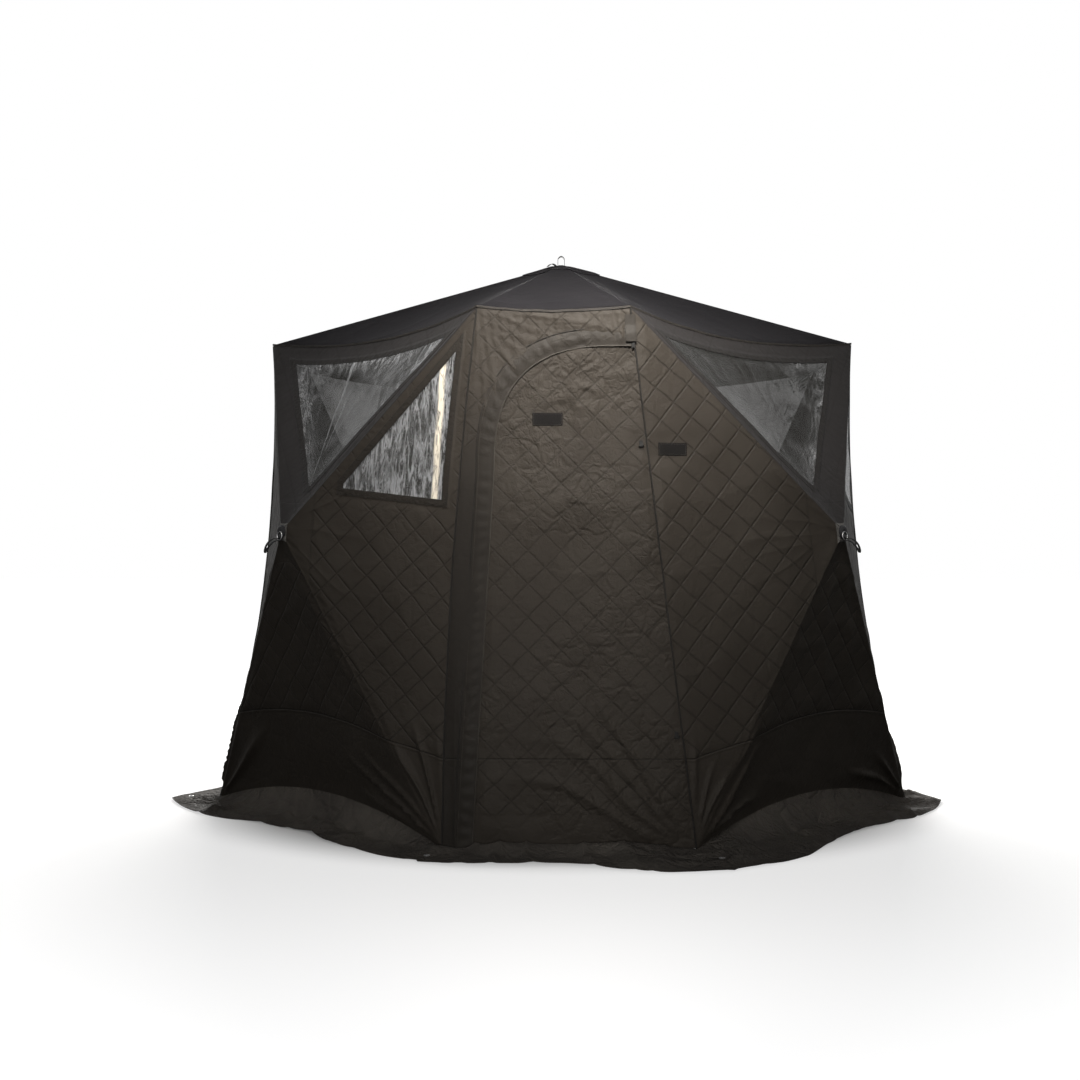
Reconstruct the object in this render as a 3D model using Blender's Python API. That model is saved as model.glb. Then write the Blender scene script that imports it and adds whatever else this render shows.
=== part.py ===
"""Pop-up sauna tent: quilted cloth walls and a low roof, held up by sprung hubs on glass-fibre poles.

Metres, +Z up. The ground is z = 0, the middle of the tent is x = y = 0, and the door faces -Y.
Seen from above the tent is a hexagon: a narrow door wall in front, a narrow wall behind, and four
square hub walls between them. Each hub wall, and the roof, is pushed out to a point by a hub whose
poles run to the corners under the cloth. Pulling a hub out locks its wall, pushing it in folds it.
"""

import math
from collections import namedtuple

import bmesh
import bpy
from mathutils import Matrix, Vector

UP = Vector((0, 0, 1))
ORIGIN = Vector((0, 0, 0))

# Stance of the tent
EAVE_HEIGHT = 1.80
HEM_HEIGHT = 0.006
ROOF_RISE = 0.314
EAVE_SIDE_REACH = 1.139
EAVE_NARROW_HALF = 0.253
EAVE_DEPTH = 0.886
FOOT_SIDE_REACH = 1.352
FOOT_NARROW_HALF = 0.419
FOOT_DEPTH = 0.900
DOOR_WALL_RACK = 0.026

# Hubs of the four square walls
WALL_HUB_REACH = 0.964
WALL_HUB_SETOUT = 0.711
WALL_HUB_HEIGHT = 1.056

# How far the stretched cloth draws its free edges in between the corners
EAVE_DRAW_IN = 0.050
EAVE_DROP = 0.045
NARROW_EAVE_DROP = 0.016
SIDE_SEAM_DRAW_IN = 0.075
NARROW_SEAM_DRAW_OUT = 0.025
FOOT_LIFT = 0.110

# Cloth
WALL_CLOTH = 0.004
ROOF_CLOTH = 0.003
FILM_THICKNESS = 0.0008
FILM_DEPTH = 0.0010
FILM_TRIM = 0.0006
SEAM_TRIM = 0.0002
SEAT_GAP = 0.0003
MITRE_SHARE = 0.75
EDGE_CELLS = 6
HUB_HOLE_RADIUS = 0.019
ROOF_RING_SHARE = 0.11

# Windows, as shares of a facet: across its edge, and from its edge to the hub
TOP_WINDOW_SHARES = {"near": 0.063, "far": 0.888, "tip": 0.390, "head": 0.105, "toe": 0.770}
SIDE_WINDOW_SHARES = {"near": 0.049, "far": 0.350, "tip": 0.163, "head": 0.090, "toe": 0.655}
WINDOW_TIP_WIDTH = 0.016

# Poles
POLE_RADIUS = 0.0055
FERRULE_RADIUS = 0.0075
FERRULE_LENGTH = 0.070
TIP_RADIUS = 0.0080
TIP_LENGTH = 0.045
POLE_TIP_INSET = 0.068
EYE_RADIUS = 0.0075
EYE_HALF_WIDTH = 0.0040
NECK_LENGTH = 0.024
POLE_SIDES = 8

# Hubs
PIN_RADIUS = 0.0026
PIN_CLEARANCE = 0.0003
SLOT_CLEARANCE = 0.0005
HUB_HALF_THICKNESS = 0.010
WALL_HUB_RADIUS = 0.047
WALL_PIVOT_RADIUS = 0.036
WALL_HUB_DEPTH = 0.047
ROOF_HUB_RADIUS = 0.074
ROOF_PIVOT_RADIUS = 0.058
ROOF_HUB_DEPTH = 0.052
STEM_RADIUS = 0.008
HUB_SIDES = 24
PIN_SPREAD = math.radians(13)
CAP_RADIUS = 0.024
CAP_THICKNESS = 0.005
CAP_DROP = 0.0012

# Pull loops on the wall hubs
STAPLE_RADIUS = 0.0060
STAPLE_LIFT = 0.0005
STAPLE_WIRE = 0.0016
RING_LIFT = 0.0024
RING_RADIUS = 0.0140
RING_WIRE = 0.0016
LOOP_LENGTH = 0.080
LOOP_WIDTH = 0.012
LOOP_HALF_GAP = 0.0030
WEBBING = 0.0018

# Roof cap and its handle
ROOF_CAP_LAP_SHARE = 0.025
ROOF_CAP_DROP = 0.008
ROOF_HEAD_DROP = 0.0065
HANDLE_HALF_SPAN = 0.013
HANDLE_HEIGHT = 0.040
HANDLE_WIDTH = 0.022
HANDLE_FOOT = 0.020

# Door wall
DOOR_HEIGHT = 1.669
DOOR_FOOT_WIDTH = 0.738
DOOR_SPRING_HEIGHT = 1.26
DOOR_SPRING_WIDTH = 0.515
DOOR_ARCH_REACH = 0.400
DOOR_ARCH_SQUARENESS = 2.6
DOOR_ARCH_STEPS = 12
DOOR_SILL = 0.014
DOOR_EDGE_GAP = 0.001
DOOR_HINGE_GAP = 0.0006
ZIP_GAP = 0.022
ZIP_TAPE_THICKNESS = 0.0012
ZIP_TAPE_DEPTH = 0.0014
FLAP_WIDTH = 0.055
FLAP_THICKNESS = 0.0025
SLIDER_LENGTH = 0.034
SLIDER_WIDTH = 0.014
SLIDER_THICKNESS = 0.008
SLIDER_START = 0.300
SLIDER_PULL_LENGTH = 0.055

# Things sewn to the walls
TOGGLE_HEIGHTS = {"upper": 1.352, "lower": 0.393}
TOGGLE_LENGTH = 0.019
TOGGLE_RADIUS = 0.003
TOGGLE_SETBACK = 0.019
TAB_WIDTH = 0.012
TAB_LENGTH = 0.018
PATCH_WIDTH = 0.100
PATCH_HEIGHT = 0.043
PATCH_THICKNESS = 0.0016
DOOR_PATCH_SETBACK = 0.318
DOOR_PATCH_HEIGHT = 1.427
WALL_PATCH_SHARES = (0.24, 0.13)
JACK_SIZE = 0.300
JACK_RING_RADIUS = 0.075
JACK_THICKNESS = 0.002
JACK_HEIGHT = 1.36
JACK_FLAP_SIZE = 0.330
JACK_FLAP_THICKNESS = 0.0025

# Ground skirt and its eyelets
SKIRT_WIDTH = 0.200
SKIRT_THICKNESS = 0.003
SKIRT_RIPPLE = 0.030
SKIRT_RIPPLES = 1.5
SKIRT_CONTACT_SHARE = 0.30
SKIRT_SPREAD_SHARES = {
    "front_left": 0.78, "front_right": 1.38, "side_right": 0.76,
    "back_right": 1.30, "back_left": 1.10, "side_left": 0.92,
}
EYELET_HOLE_RADIUS = 0.0055
EYELET_RADIUS = 0.0110
EYELET_HEIGHT = 0.0014
EYELET_SETOUT_SHARE = 0.62
EYELET_SIDES = 12

SEAMS = ("front_left", "front_right", "side_right", "back_right", "back_left", "side_left")
WALLS = ("front", "front_right", "back_right", "back", "back_left", "front_left")
HUB_WALLS = ("front_right", "back_right", "back_left", "front_left")
WALL_POLES = ("top_right", "top_left", "bottom_left", "bottom_right")

Edge = namedtuple("Edge", "start end bow")
Facet = namedtuple("Facet", "edge apex")
Pole = namedtuple("Pole", "pivot tip outward")


# Points and edges of the stretched cloth

def lerp(start, end, share):
    return start + (end - start) * share


def edge_point(edge, share):
    """A point along a seam that hangs or draws in between its two corners."""
    return lerp(edge.start, edge.end, share) + edge.bow * (4 * share * (1 - share))


def facet_point(facet, across, inward):
    """A point of a cloth facet: straight lines run from its free edge to its apex."""
    return lerp(edge_point(facet.edge, across), facet.apex, inward)


def facet_normal(facet, across, inward):
    step_share = 0.001
    along = edge_point(facet.edge, across + step_share) - edge_point(facet.edge, across - step_share)
    to_apex = facet.apex - facet_point(facet, across, inward)
    return along.cross(to_apex).normalized()


def side_of(name):
    return 1 if name.endswith("right") else -1


def seam_corners(name):
    """Eave corner and foot of an upright seam."""
    side = side_of(name)
    if name.startswith("side"):
        return Vector((side * EAVE_SIDE_REACH, 0, EAVE_HEIGHT)), Vector((side * FOOT_SIDE_REACH, 0, HEM_HEIGHT))
    front = name.startswith("front")
    end = -1 if front else 1
    rack = DOOR_WALL_RACK if front else 0
    eave = Vector((side * EAVE_NARROW_HALF - rack, end * EAVE_DEPTH, EAVE_HEIGHT))
    foot = Vector((side * FOOT_NARROW_HALF + rack, end * FOOT_DEPTH, HEM_HEIGHT))
    return eave, foot


def seam_bow(name):
    """Sideways draw of an upright seam at its middle. The door hangs on the front right one, which stays straight."""
    across = Vector((side_of(name), 0, 0))
    if name.startswith("side"):
        return across * -SIDE_SEAM_DRAW_IN
    if name == "front_right":
        return ORIGIN.copy()
    return across * NARROW_SEAM_DRAW_OUT


def wall_seams(wall):
    """Names of the seams at a wall's left and right, seen from outside."""
    place = WALLS.index(wall)
    return SEAMS[place], SEAMS[(place + 1) % len(SEAMS)]


def flat_outward(wall):
    """Horizontal direction straight out of a wall."""
    left, right = wall_seams(wall)
    across = seam_corners(right)[1] - seam_corners(left)[1]
    return across.cross(UP).normalized()


def eave_edge(wall):
    left, right = wall_seams(wall)
    if wall in HUB_WALLS:
        bow = flat_outward(wall) * -EAVE_DRAW_IN - UP * EAVE_DROP
    else:
        bow = UP * -NARROW_EAVE_DROP
    return Edge(seam_corners(right)[0], seam_corners(left)[0], bow)


def foot_edge(wall):
    left, right = wall_seams(wall)
    bow = UP * FOOT_LIFT if wall in HUB_WALLS else ORIGIN.copy()
    return Edge(seam_corners(left)[1], seam_corners(right)[1], bow)


def wall_edges(wall):
    """The four edges of a wall, anticlockwise seen from outside, from the top right corner."""
    left, right = wall_seams(wall)
    left_eave, left_foot = seam_corners(left)
    right_eave, right_foot = seam_corners(right)
    return {
        "top": eave_edge(wall),
        "left": Edge(left_eave, left_foot, seam_bow(left)),
        "bottom": foot_edge(wall),
        "right": Edge(right_foot, right_eave, seam_bow(right)),
    }


def wall_hub_point(wall):
    side = side_of(wall)
    end = -1 if wall.startswith("front") else 1
    return Vector((side * WALL_HUB_REACH, end * WALL_HUB_SETOUT, WALL_HUB_HEIGHT))


def wall_facets(wall):
    hub = wall_hub_point(wall)
    return {place: Facet(edge, hub) for place, edge in wall_edges(wall).items()}


def wall_outward(wall):
    """Direction in which a wall's hub pops out: square to the wall's corners."""
    edges = wall_edges(wall)
    rising = edges["top"].start - edges["left"].end
    falling = edges["right"].start - edges["top"].end
    return falling.cross(rising).normalized()


def roof_apex():
    return UP * (EAVE_HEIGHT + ROOF_RISE)


def roof_facet(wall):
    edge = eave_edge(wall)
    return Facet(Edge(edge.end, edge.start, edge.bow), roof_apex())


# Solids from points

def bmesh_object(name, bm, material, smooth=False):
    mesh = bpy.data.meshes.new(name)
    bm.to_mesh(mesh)
    bm.free()
    mesh.materials.append(material)
    if smooth:
        mesh.shade_smooth()
        mesh.set_sharp_from_angle(angle=math.radians(35))
    obj = bpy.data.objects.new(name, mesh)
    bpy.context.scene.collection.objects.link(obj)
    return obj


def square_shift(before, here, after, normal):
    """Move that takes a corner one metre in from both of its edges."""
    first = normal.cross(here - before).normalized()
    second = normal.cross(after - here).normalized()
    return (first + second) / (1 + first.dot(second))


def add_cloth(bm, grids, thickness, depth=0, trim=SEAM_TRIM):
    """A closed cloth solid over the kept cells of grids of points, depth below them.

    Each grid is rows[j][i] and the cells to keep, with i to the right and j up seen from outside.
    Grids join where their points meet. Every free edge is trimmed for its seam, and the inner
    face a little more along the first row, as a mitre against the next panel.
    """
    skin = bmesh.new()
    for rows, kept in grids:
        verts = {}
        for i, j in sorted(kept):
            for key in ((i, j), (i + 1, j), (i + 1, j + 1), (i, j + 1)):
                if key not in verts:
                    verts[key] = skin.verts.new(rows[key[1]][key[0]])
                    verts[key].select = key[1] == 0
            skin.faces.new((verts[i, j], verts[i + 1, j], verts[i + 1, j + 1], verts[i, j + 1]))
    bmesh.ops.remove_doubles(skin, verts=skin.verts, dist=SEAM_TRIM)
    bmesh.ops.triangulate(skin, faces=skin.faces)
    skin.normal_update()
    loops = [edge.link_loops[0] for edge in skin.edges if edge.is_boundary]
    after = {loop.vert: loop.link_loop_next.vert for loop in loops}
    before = {end: start for start, end in after.items()}
    outer, inner = {}, {}
    for vert in skin.verts:
        shift = ORIGIN
        if vert in after:
            shift = square_shift(before[vert].co, vert.co, after[vert].co, vert.normal)
        mitre = trim + (thickness * MITRE_SHARE if vert.select else 0)
        inward = vert.normal * -vert.calc_shell_factor()
        outer[vert] = bm.verts.new(vert.co + shift * trim + inward * depth)
        inner[vert] = bm.verts.new(vert.co + shift * mitre + inward * (depth + thickness))
    for face in skin.faces:
        bm.faces.new([outer[vert] for vert in face.verts])
        bm.faces.new([inner[vert] for vert in reversed(face.verts)])
    for start, end in after.items():
        bm.faces.new((outer[end], outer[start], inner[start], inner[end]))
    skin.free()


def add_plate(bm, loop, normal, thickness, depth=0, mitre_share=0):
    """A flat cloth solid inside an outline that runs anticlockwise seen from outside."""
    outer, inner = [], []
    for k, here in enumerate(loop):
        shift = square_shift(loop[k - 1], here, loop[(k + 1) % len(loop)], normal)
        mitre = SEAM_TRIM + thickness * mitre_share
        outer.append(bm.verts.new(here + shift * SEAM_TRIM - normal * depth))
        inner.append(bm.verts.new(here + shift * mitre - normal * (depth + thickness)))
    bm.faces.new(outer)
    bm.faces.new(list(reversed(inner)))
    for k in range(len(loop)):
        following = (k + 1) % len(loop)
        bm.faces.new((outer[following], outer[k], inner[k], inner[following]))


def add_loft(bm, rings, closed=False):
    """A skin through rings of points, capped at both ends unless it closes on itself."""
    loops = [[bm.verts.new(point) for point in ring] for ring in rings]
    spans = zip(loops, loops[1:] + loops[:1]) if closed else zip(loops, loops[1:])
    for low, high in spans:
        for k in range(len(low)):
            following = (k + 1) % len(low)
            bm.faces.new((low[k], low[following], high[following], high[k]))
    if not closed:
        bm.faces.new(list(reversed(loops[0])))
        bm.faces.new(loops[-1])


def axis_frame(axis, across=None):
    """Matrix whose Z is axis and whose X is near across."""
    axis = axis.normalized()
    guide = across if across is not None else (UP if abs(axis.z) < 0.9 else Vector((1, 0, 0)))
    first = (guide - axis * guide.dot(axis)).normalized()
    return Matrix((first, axis.cross(first), axis)).transposed()


def add_turned(bm, profile, centre, axis, sides):
    """A body turned about axis from (radius, height) points that start and end on the axis."""
    frame = axis_frame(axis)
    start, end = profile[0], profile[-1]
    rings = []
    for radius, height in profile[1:-1]:
        turns = [2 * math.pi * k / sides for k in range(sides)]
        ring = [Vector((radius * math.cos(a), radius * math.sin(a), height)) for a in turns]
        rings.append([bm.verts.new(centre + frame @ point) for point in ring])
    for low, high in zip(rings, rings[1:]):
        for k in range(sides):
            following = (k + 1) % sides
            bm.faces.new((low[k], low[following], high[following], high[k]))
    for ring, (_, height), turned in ((rings[0], start, True), (rings[-1], end, False)):
        tip = bm.verts.new(centre + frame @ Vector((0, 0, height)))
        for k in range(sides):
            pair = (ring[k], ring[(k + 1) % sides])
            bm.faces.new((tip, pair[1], pair[0]) if turned else (tip, pair[0], pair[1]))


def add_ring(bm, centre, axis, radius, wire, around=16, sides=6):
    """A round wire ring about axis."""
    frame = axis_frame(axis)
    rings = []
    for k in range(around):
        turn = 2 * math.pi * k / around
        spoke = Vector((math.cos(turn), math.sin(turn), 0))
        ring = []
        for m in range(sides):
            roll = 2 * math.pi * m / sides
            ring.append(centre + frame @ (spoke * (radius + wire * math.cos(roll)) - UP * wire * math.sin(roll)))
        rings.append(ring)
    add_loft(bm, rings, closed=True)


def add_ribbon(bm, path, across, width, thickness, closed=False):
    """A flat band of webbing along a path, on the left of the path as across points at the viewer."""
    rings = []
    for k, here in enumerate(path):
        before = path[k - 1] if closed or k else here
        after = path[(k + 1) % len(path)] if closed or k + 1 < len(path) else here
        if before == here:
            shift = across.cross(after - here).normalized()
        elif after == here:
            shift = across.cross(here - before).normalized()
        else:
            shift = square_shift(before, here, after, across)
        edge = across * (width / 2)
        rings.append([here - edge, here - edge + shift * thickness, here + edge + shift * thickness, here + edge])
    add_loft(bm, rings, closed)


def add_box(bm, centre, frame, size):
    matrix = Matrix.Translation(centre) @ frame.to_4x4() @ Matrix.Diagonal((*size, 1))
    bmesh.ops.create_cube(bm, size=1, matrix=matrix)


def combine(obj, bm, name, operation="DIFFERENCE"):
    """Cuts a hidden tool out of an object, or joins it on."""
    mesh = bpy.data.meshes.new(name)
    bm.to_mesh(mesh)
    bm.free()
    tool = bpy.data.objects.new(name, mesh)
    bpy.context.scene.collection.objects.link(tool)
    tool.hide_render = True
    tool.display_type = "WIRE"
    modifier = obj.modifiers.new(name, "BOOLEAN")
    modifier.operation = operation
    modifier.solver = "EXACT"
    modifier.object = tool


def hang_on(obj, pivot):
    """Moves an object's origin to its joint without moving its surface."""
    obj.data.transform(Matrix.Translation(-pivot))
    obj.location = pivot


def surface(name, colour, roughness, metallic=0.0):
    material = bpy.data.materials.new(name)
    material.use_nodes = True
    shader = material.node_tree.nodes["Principled BSDF"]
    shader.inputs["Base Color"].default_value = (*colour, 1)
    shader.inputs["Roughness"].default_value = roughness
    shader.inputs["Metallic"].default_value = metallic
    return material


def cloth(name):
    return surface(name, (0.040, 0.036, 0.032), 0.62)


def webbing(name):
    return surface(name, (0.012, 0.012, 0.012), 0.80)


# Cloth panels

def fold_levels(end_share):
    """Shares from the free edge to the hub at which neighbouring facets join."""
    head, toe = TOP_WINDOW_SHARES["head"], TOP_WINDOW_SHARES["toe"]
    return [0, head, lerp(head, toe, 0.5), toe, end_share]


def whole_grid(facet, levels):
    return [[facet_point(facet, i / EDGE_CELLS, v) for i in range(EDGE_CELLS + 1)] for v in levels]


def window_grid(facet, shares, flipped, end_share):
    """Grid of a facet with lines along its window, and the cells of the window."""
    length = (facet.edge.end - facet.edge.start).length
    head, toe = shares["head"], shares["toe"]
    tip_half = WINDOW_TIP_WIDTH / 2 / length / (1 - toe)
    low = (shares["near"], shares["tip"] - tip_half)
    high = (shares["far"], shares["tip"] + tip_half)

    def straight(ends, inward):
        """Share across the facet of a window side, which is straight in the cloth."""
        share = (inward - head) / (toe - head)
        return lerp(ends[0] * (1 - head), ends[1] * (1 - toe), share) / (1 - inward)

    panes = EDGE_CELLS - 2
    rows = [whole_grid(facet, [0])[0]]
    levels = [head, lerp(head, toe, 0.5), toe, end_share]
    for inward, fold in zip(levels, fold_levels(end_share)[1:]):
        held = min(inward, toe)
        near, far = straight(low, held), straight(high, held)
        places = [(0, fold)]
        places += [(lerp(near, far, k / panes), inward) for k in range(panes + 1)]
        places += [(1, fold)]
        if flipped:
            places = [(1 - across, level) for across, level in reversed(places)]
        rows.append([facet_point(facet, *place) for place in places])
    return rows, {(i, j) for i in range(1, EDGE_CELLS - 1) for j in (1, 2)}


def all_cells(rows):
    return {(i, j) for i in range(len(rows[0]) - 1) for j in range(len(rows) - 1)}


def hub_end_share(facets):
    """Where a wall's cloth stops, short of the hub's stem."""
    reach = min((facet.apex - facet.edge.start).length for facet in facets.values())
    return 1 - HUB_HOLE_RADIUS / reach


def window_facets(wall):
    """The two facets of a hub wall with a window: the top one and the one on the right."""
    facets = wall_facets(wall)
    near_is_left = wall_seams(wall)[0] in ("front_right", "back_left")
    return {
        "top": (facets["top"], TOP_WINDOW_SHARES, near_is_left),
        "side": (facets["right"], SIDE_WINDOW_SHARES, True),
    }


def build_hub_wall(wall):
    """One square wall: four cloth facets folded to a point at its hub, and its two windows."""
    facets = wall_facets(wall)
    end_share = hub_end_share(facets)
    levels = fold_levels(end_share)
    whole = [whole_grid(facets[place], levels) for place in ("left", "bottom")]
    grids = [(rows, all_cells(rows)) for rows in whole]
    for place, (facet, shares, flipped) in window_facets(wall).items():
        rows, window = window_grid(facet, shares, flipped, end_share)
        grids.append((rows, all_cells(rows) - window))
        film = bmesh.new()
        add_cloth(film, [(rows, window)], FILM_THICKNESS, FILM_DEPTH, FILM_TRIM)
        name = f"window_{wall}_{place}"
        bmesh_object(name, film, surface(f"{name}_film", (0.42, 0.44, 0.42), 0.15))
    bm = bmesh.new()
    add_cloth(bm, grids, WALL_CLOTH)
    bmesh_object(f"wall_{wall}", bm, cloth(f"quilted_cloth_{wall}"))


def build_roof_canopy():
    bm = bmesh.new()
    levels = [0, 1 - ROOF_RING_SHARE]
    grids = [whole_grid(roof_facet(wall), levels) for wall in WALLS]
    add_cloth(bm, [(rows, all_cells(rows)) for rows in grids], ROOF_CLOTH)
    bmesh_object("roof_canopy", bm, surface("roof_cloth", (0.052, 0.050, 0.052), 0.55))


def build_roof_cap():
    """Low cloth cap over the roof hub, sewn on round the opening in the canopy."""
    crown = roof_apex() - UP * ROOF_CAP_DROP
    grids = []
    for wall in WALLS:
        rows = whole_grid(roof_facet(wall), [1 - ROOF_RING_SHARE - ROOF_CAP_LAP_SHARE, 1 - ROOF_RING_SHARE])
        rows.append([crown - UP * (ROOF_CLOTH + SEAT_GAP)] * (EDGE_CELLS + 1))
        grids.append((rows, all_cells(rows)))
    bm = bmesh.new()
    add_cloth(bm, grids, ROOF_CLOTH, -(ROOF_CLOTH + SEAT_GAP))
    bmesh_object("roof_cap", bm, surface("cap_cloth", (0.060, 0.058, 0.060), 0.55))


def build_roof_handle():
    """Webbing loop on the cap, for pulling the roof hub up."""
    half, foot, radius = HANDLE_HALF_SPAN, HANDLE_FOOT, HANDLE_HALF_SPAN
    arch_height = HANDLE_HEIGHT - radius
    steps = 6
    arch = [(-radius * math.cos(math.pi * k / steps), arch_height + radius * math.sin(math.pi * k / steps))
            for k in range(steps + 1)]
    lift = SEAT_GAP * 2
    sides = [(-half - foot, lift), (-half, lift), *arch, (half, lift), (half + foot, lift)]
    base = roof_apex() - UP * ROOF_CAP_DROP
    fall = ROOF_RISE * ROOF_RING_SHARE - ROOF_CAP_DROP - ROOF_CLOTH - SEAT_GAP
    slope = fall / (ROOF_RING_SHARE * EAVE_SIDE_REACH)
    path = [base + Vector((x, 0, z - abs(x) * slope)) for x, z in sides]
    bm = bmesh.new()
    add_ribbon(bm, path, Vector((0, -1, 0)), HANDLE_WIDTH, WEBBING)
    bmesh_object("roof_handle", bm, webbing("handle_webbing"))


def build_back_wall():
    edges = wall_edges("back")
    loop = []
    for place in ("top", "left", "bottom", "right"):
        loop += [edge_point(edges[place], k / EDGE_CELLS) for k in range(EDGE_CELLS)]
    bm = bmesh.new()
    add_plate(bm, loop, narrow_wall_normal("back"), WALL_CLOTH, mitre_share=MITRE_SHARE)
    bmesh_object("wall_back", bm, cloth("quilted_cloth_back"))


# Door wall

def narrow_wall_normal(wall):
    edges = wall_edges(wall)
    across = edges["bottom"].end - edges["bottom"].start
    up = edges["top"].end - edges["bottom"].start
    return across.cross(up).normalized()


def front_point(x, z):
    """A point on the outer face of the door wall."""
    share = (z - HEM_HEIGHT) / (EAVE_HEIGHT - HEM_HEIGHT)
    return Vector((x, -lerp(FOOT_DEPTH, EAVE_DEPTH, share), z))


def hinge_x(z):
    """Where the door's hinge seam stands at a height."""
    eave, foot = seam_corners("front_right")
    return lerp(foot.x, eave.x, (z - HEM_HEIGHT) / (EAVE_HEIGHT - HEM_HEIGHT))


def door_edge(offset, foot_height):
    """The door's free edge moved out by offset: up its left side and over the arch to the hinge seam."""
    spring_x = hinge_x(DOOR_SPRING_HEIGHT) - DOOR_SPRING_WIDTH
    foot_x = hinge_x(foot_height) - DOOR_FOOT_WIDTH
    points = [front_point(foot_x - offset, foot_height)]
    centre_x = spring_x + DOOR_ARCH_REACH
    rise = DOOR_HEIGHT - DOOR_SPRING_HEIGHT
    power = 2 / DOOR_ARCH_SQUARENESS
    for k in range(DOOR_ARCH_STEPS + 1):
        turn = math.pi / 2 * k / DOOR_ARCH_STEPS
        x = centre_x - (DOOR_ARCH_REACH + offset) * max(math.cos(turn), 0) ** power
        z = DOOR_SPRING_HEIGHT + (rise + offset) * math.sin(turn) ** power
        points.append(front_point(x, z))
    top = DOOR_HEIGHT + offset
    points.append(front_point(hinge_x(top) - DOOR_HINGE_GAP, top))
    return points


def door_axis():
    eave, foot = seam_corners("front_right")
    return (eave - foot).normalized()


def build_door_wall():
    """The fixed cloth round the doorway: a strip on the left and a header over the arch."""
    edges = wall_edges("front")
    left_foot, right_eave = edges["left"].end, edges["top"].start
    loop = [edge_point(edges["top"], k / EDGE_CELLS) for k in range(EDGE_CELLS)]
    loop += [edge_point(edges["left"], k / EDGE_CELLS) for k in range(EDGE_CELLS)]
    loop += [left_foot]
    loop += door_edge(ZIP_GAP, HEM_HEIGHT)
    bm = bmesh.new()
    add_plate(bm, loop, narrow_wall_normal("front"), WALL_CLOTH, mitre_share=MITRE_SHARE)
    bmesh_object("door_wall", bm, cloth("quilted_cloth_front"))
    return right_eave


def build_door():
    """The quilted door, which swings out on its right-hand seam."""
    normal = narrow_wall_normal("front")
    free = door_edge(-DOOR_EDGE_GAP, DOOR_SILL)
    foot = front_point(hinge_x(DOOR_SILL) - DOOR_HINGE_GAP, DOOR_SILL)
    bm = bmesh.new()
    add_plate(bm, [foot, *reversed(free)], normal, WALL_CLOTH)
    door = bmesh_object("door", bm, cloth("quilted_cloth_door"))
    hang_on(door, seam_corners("front_right")[1])


def build_storm_flap():
    """Cloth strip sewn over the zip, from the foot up the left side and over the arch."""
    normal = narrow_wall_normal("front")
    inner = door_edge(0, DOOR_SILL)
    outer = door_edge(FLAP_WIDTH, DOOR_SILL)
    bm = bmesh.new()
    lift = -(FLAP_THICKNESS + SEAT_GAP)
    add_plate(bm, [*inner, *reversed(outer)], normal, FLAP_THICKNESS, lift)
    bmesh_object("storm_flap", bm, cloth("flap_cloth"))


def build_zip():
    """Zip tape along the doorway under the storm flap, and the slider that runs up its straight side."""
    normal = narrow_wall_normal("front")
    bm = bmesh.new()
    inner = door_edge(SEAT_GAP, DOOR_SILL)
    outer = door_edge(ZIP_GAP - SEAT_GAP, DOOR_SILL)
    add_plate(bm, [*inner, *reversed(outer)], normal, ZIP_TAPE_THICKNESS, ZIP_TAPE_DEPTH)
    bmesh_object("door_zip", bm, surface("zip_tape", (0.015, 0.015, 0.015), 0.6))

    up, across = zip_directions()
    start = zip_start()
    shares = ((-0.35, -0.5), (0.35, -0.5), (0.5, 0.1), (0.42, 0.5), (-0.42, 0.5), (-0.5, 0.1))
    outline = [start + across * (SLIDER_WIDTH * x) + up * (SLIDER_LENGTH * y) for x, y in shares]
    body = bmesh.new()
    add_plate(body, outline, normal, SLIDER_THICKNESS, slider_depth())
    slider = bmesh_object("zip_slider", body, surface("slider_metal", (0.30, 0.30, 0.31), 0.35, 1.0))
    shares = ((-0.35, -1), (0.35, -1), (0.22, 0), (-0.22, 0))
    outline = [start + across * (SLIDER_WIDTH * x) + up * (SLIDER_PULL_LENGTH * y) for x, y in shares]
    pull = bmesh.new()
    add_plate(pull, outline, normal, WEBBING, slider_depth() + SLIDER_THICKNESS * 0.8)
    combine(slider, pull, "slider_pull_tool", "UNION")
    hang_on(slider, start)


def slider_depth():
    return ZIP_TAPE_DEPTH + ZIP_TAPE_THICKNESS + SEAT_GAP


def zip_directions():
    """Directions along and across the zip's straight left side."""
    low, high = door_edge(ZIP_GAP / 2, DOOR_SILL)[:2]
    up = (high - low).normalized()
    return up, up.cross(narrow_wall_normal("front"))


def zip_start():
    low, high = door_edge(ZIP_GAP / 2, DOOR_SILL)[:2]
    return lerp(low, high, SLIDER_START / DOOR_SPRING_HEIGHT)


def tab_pivot(place):
    """Point on the door's face that a tie-back toggle hangs from."""
    height = TOGGLE_HEIGHTS[place]
    return front_point(hinge_x(height) - TOGGLE_SETBACK, height)


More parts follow.
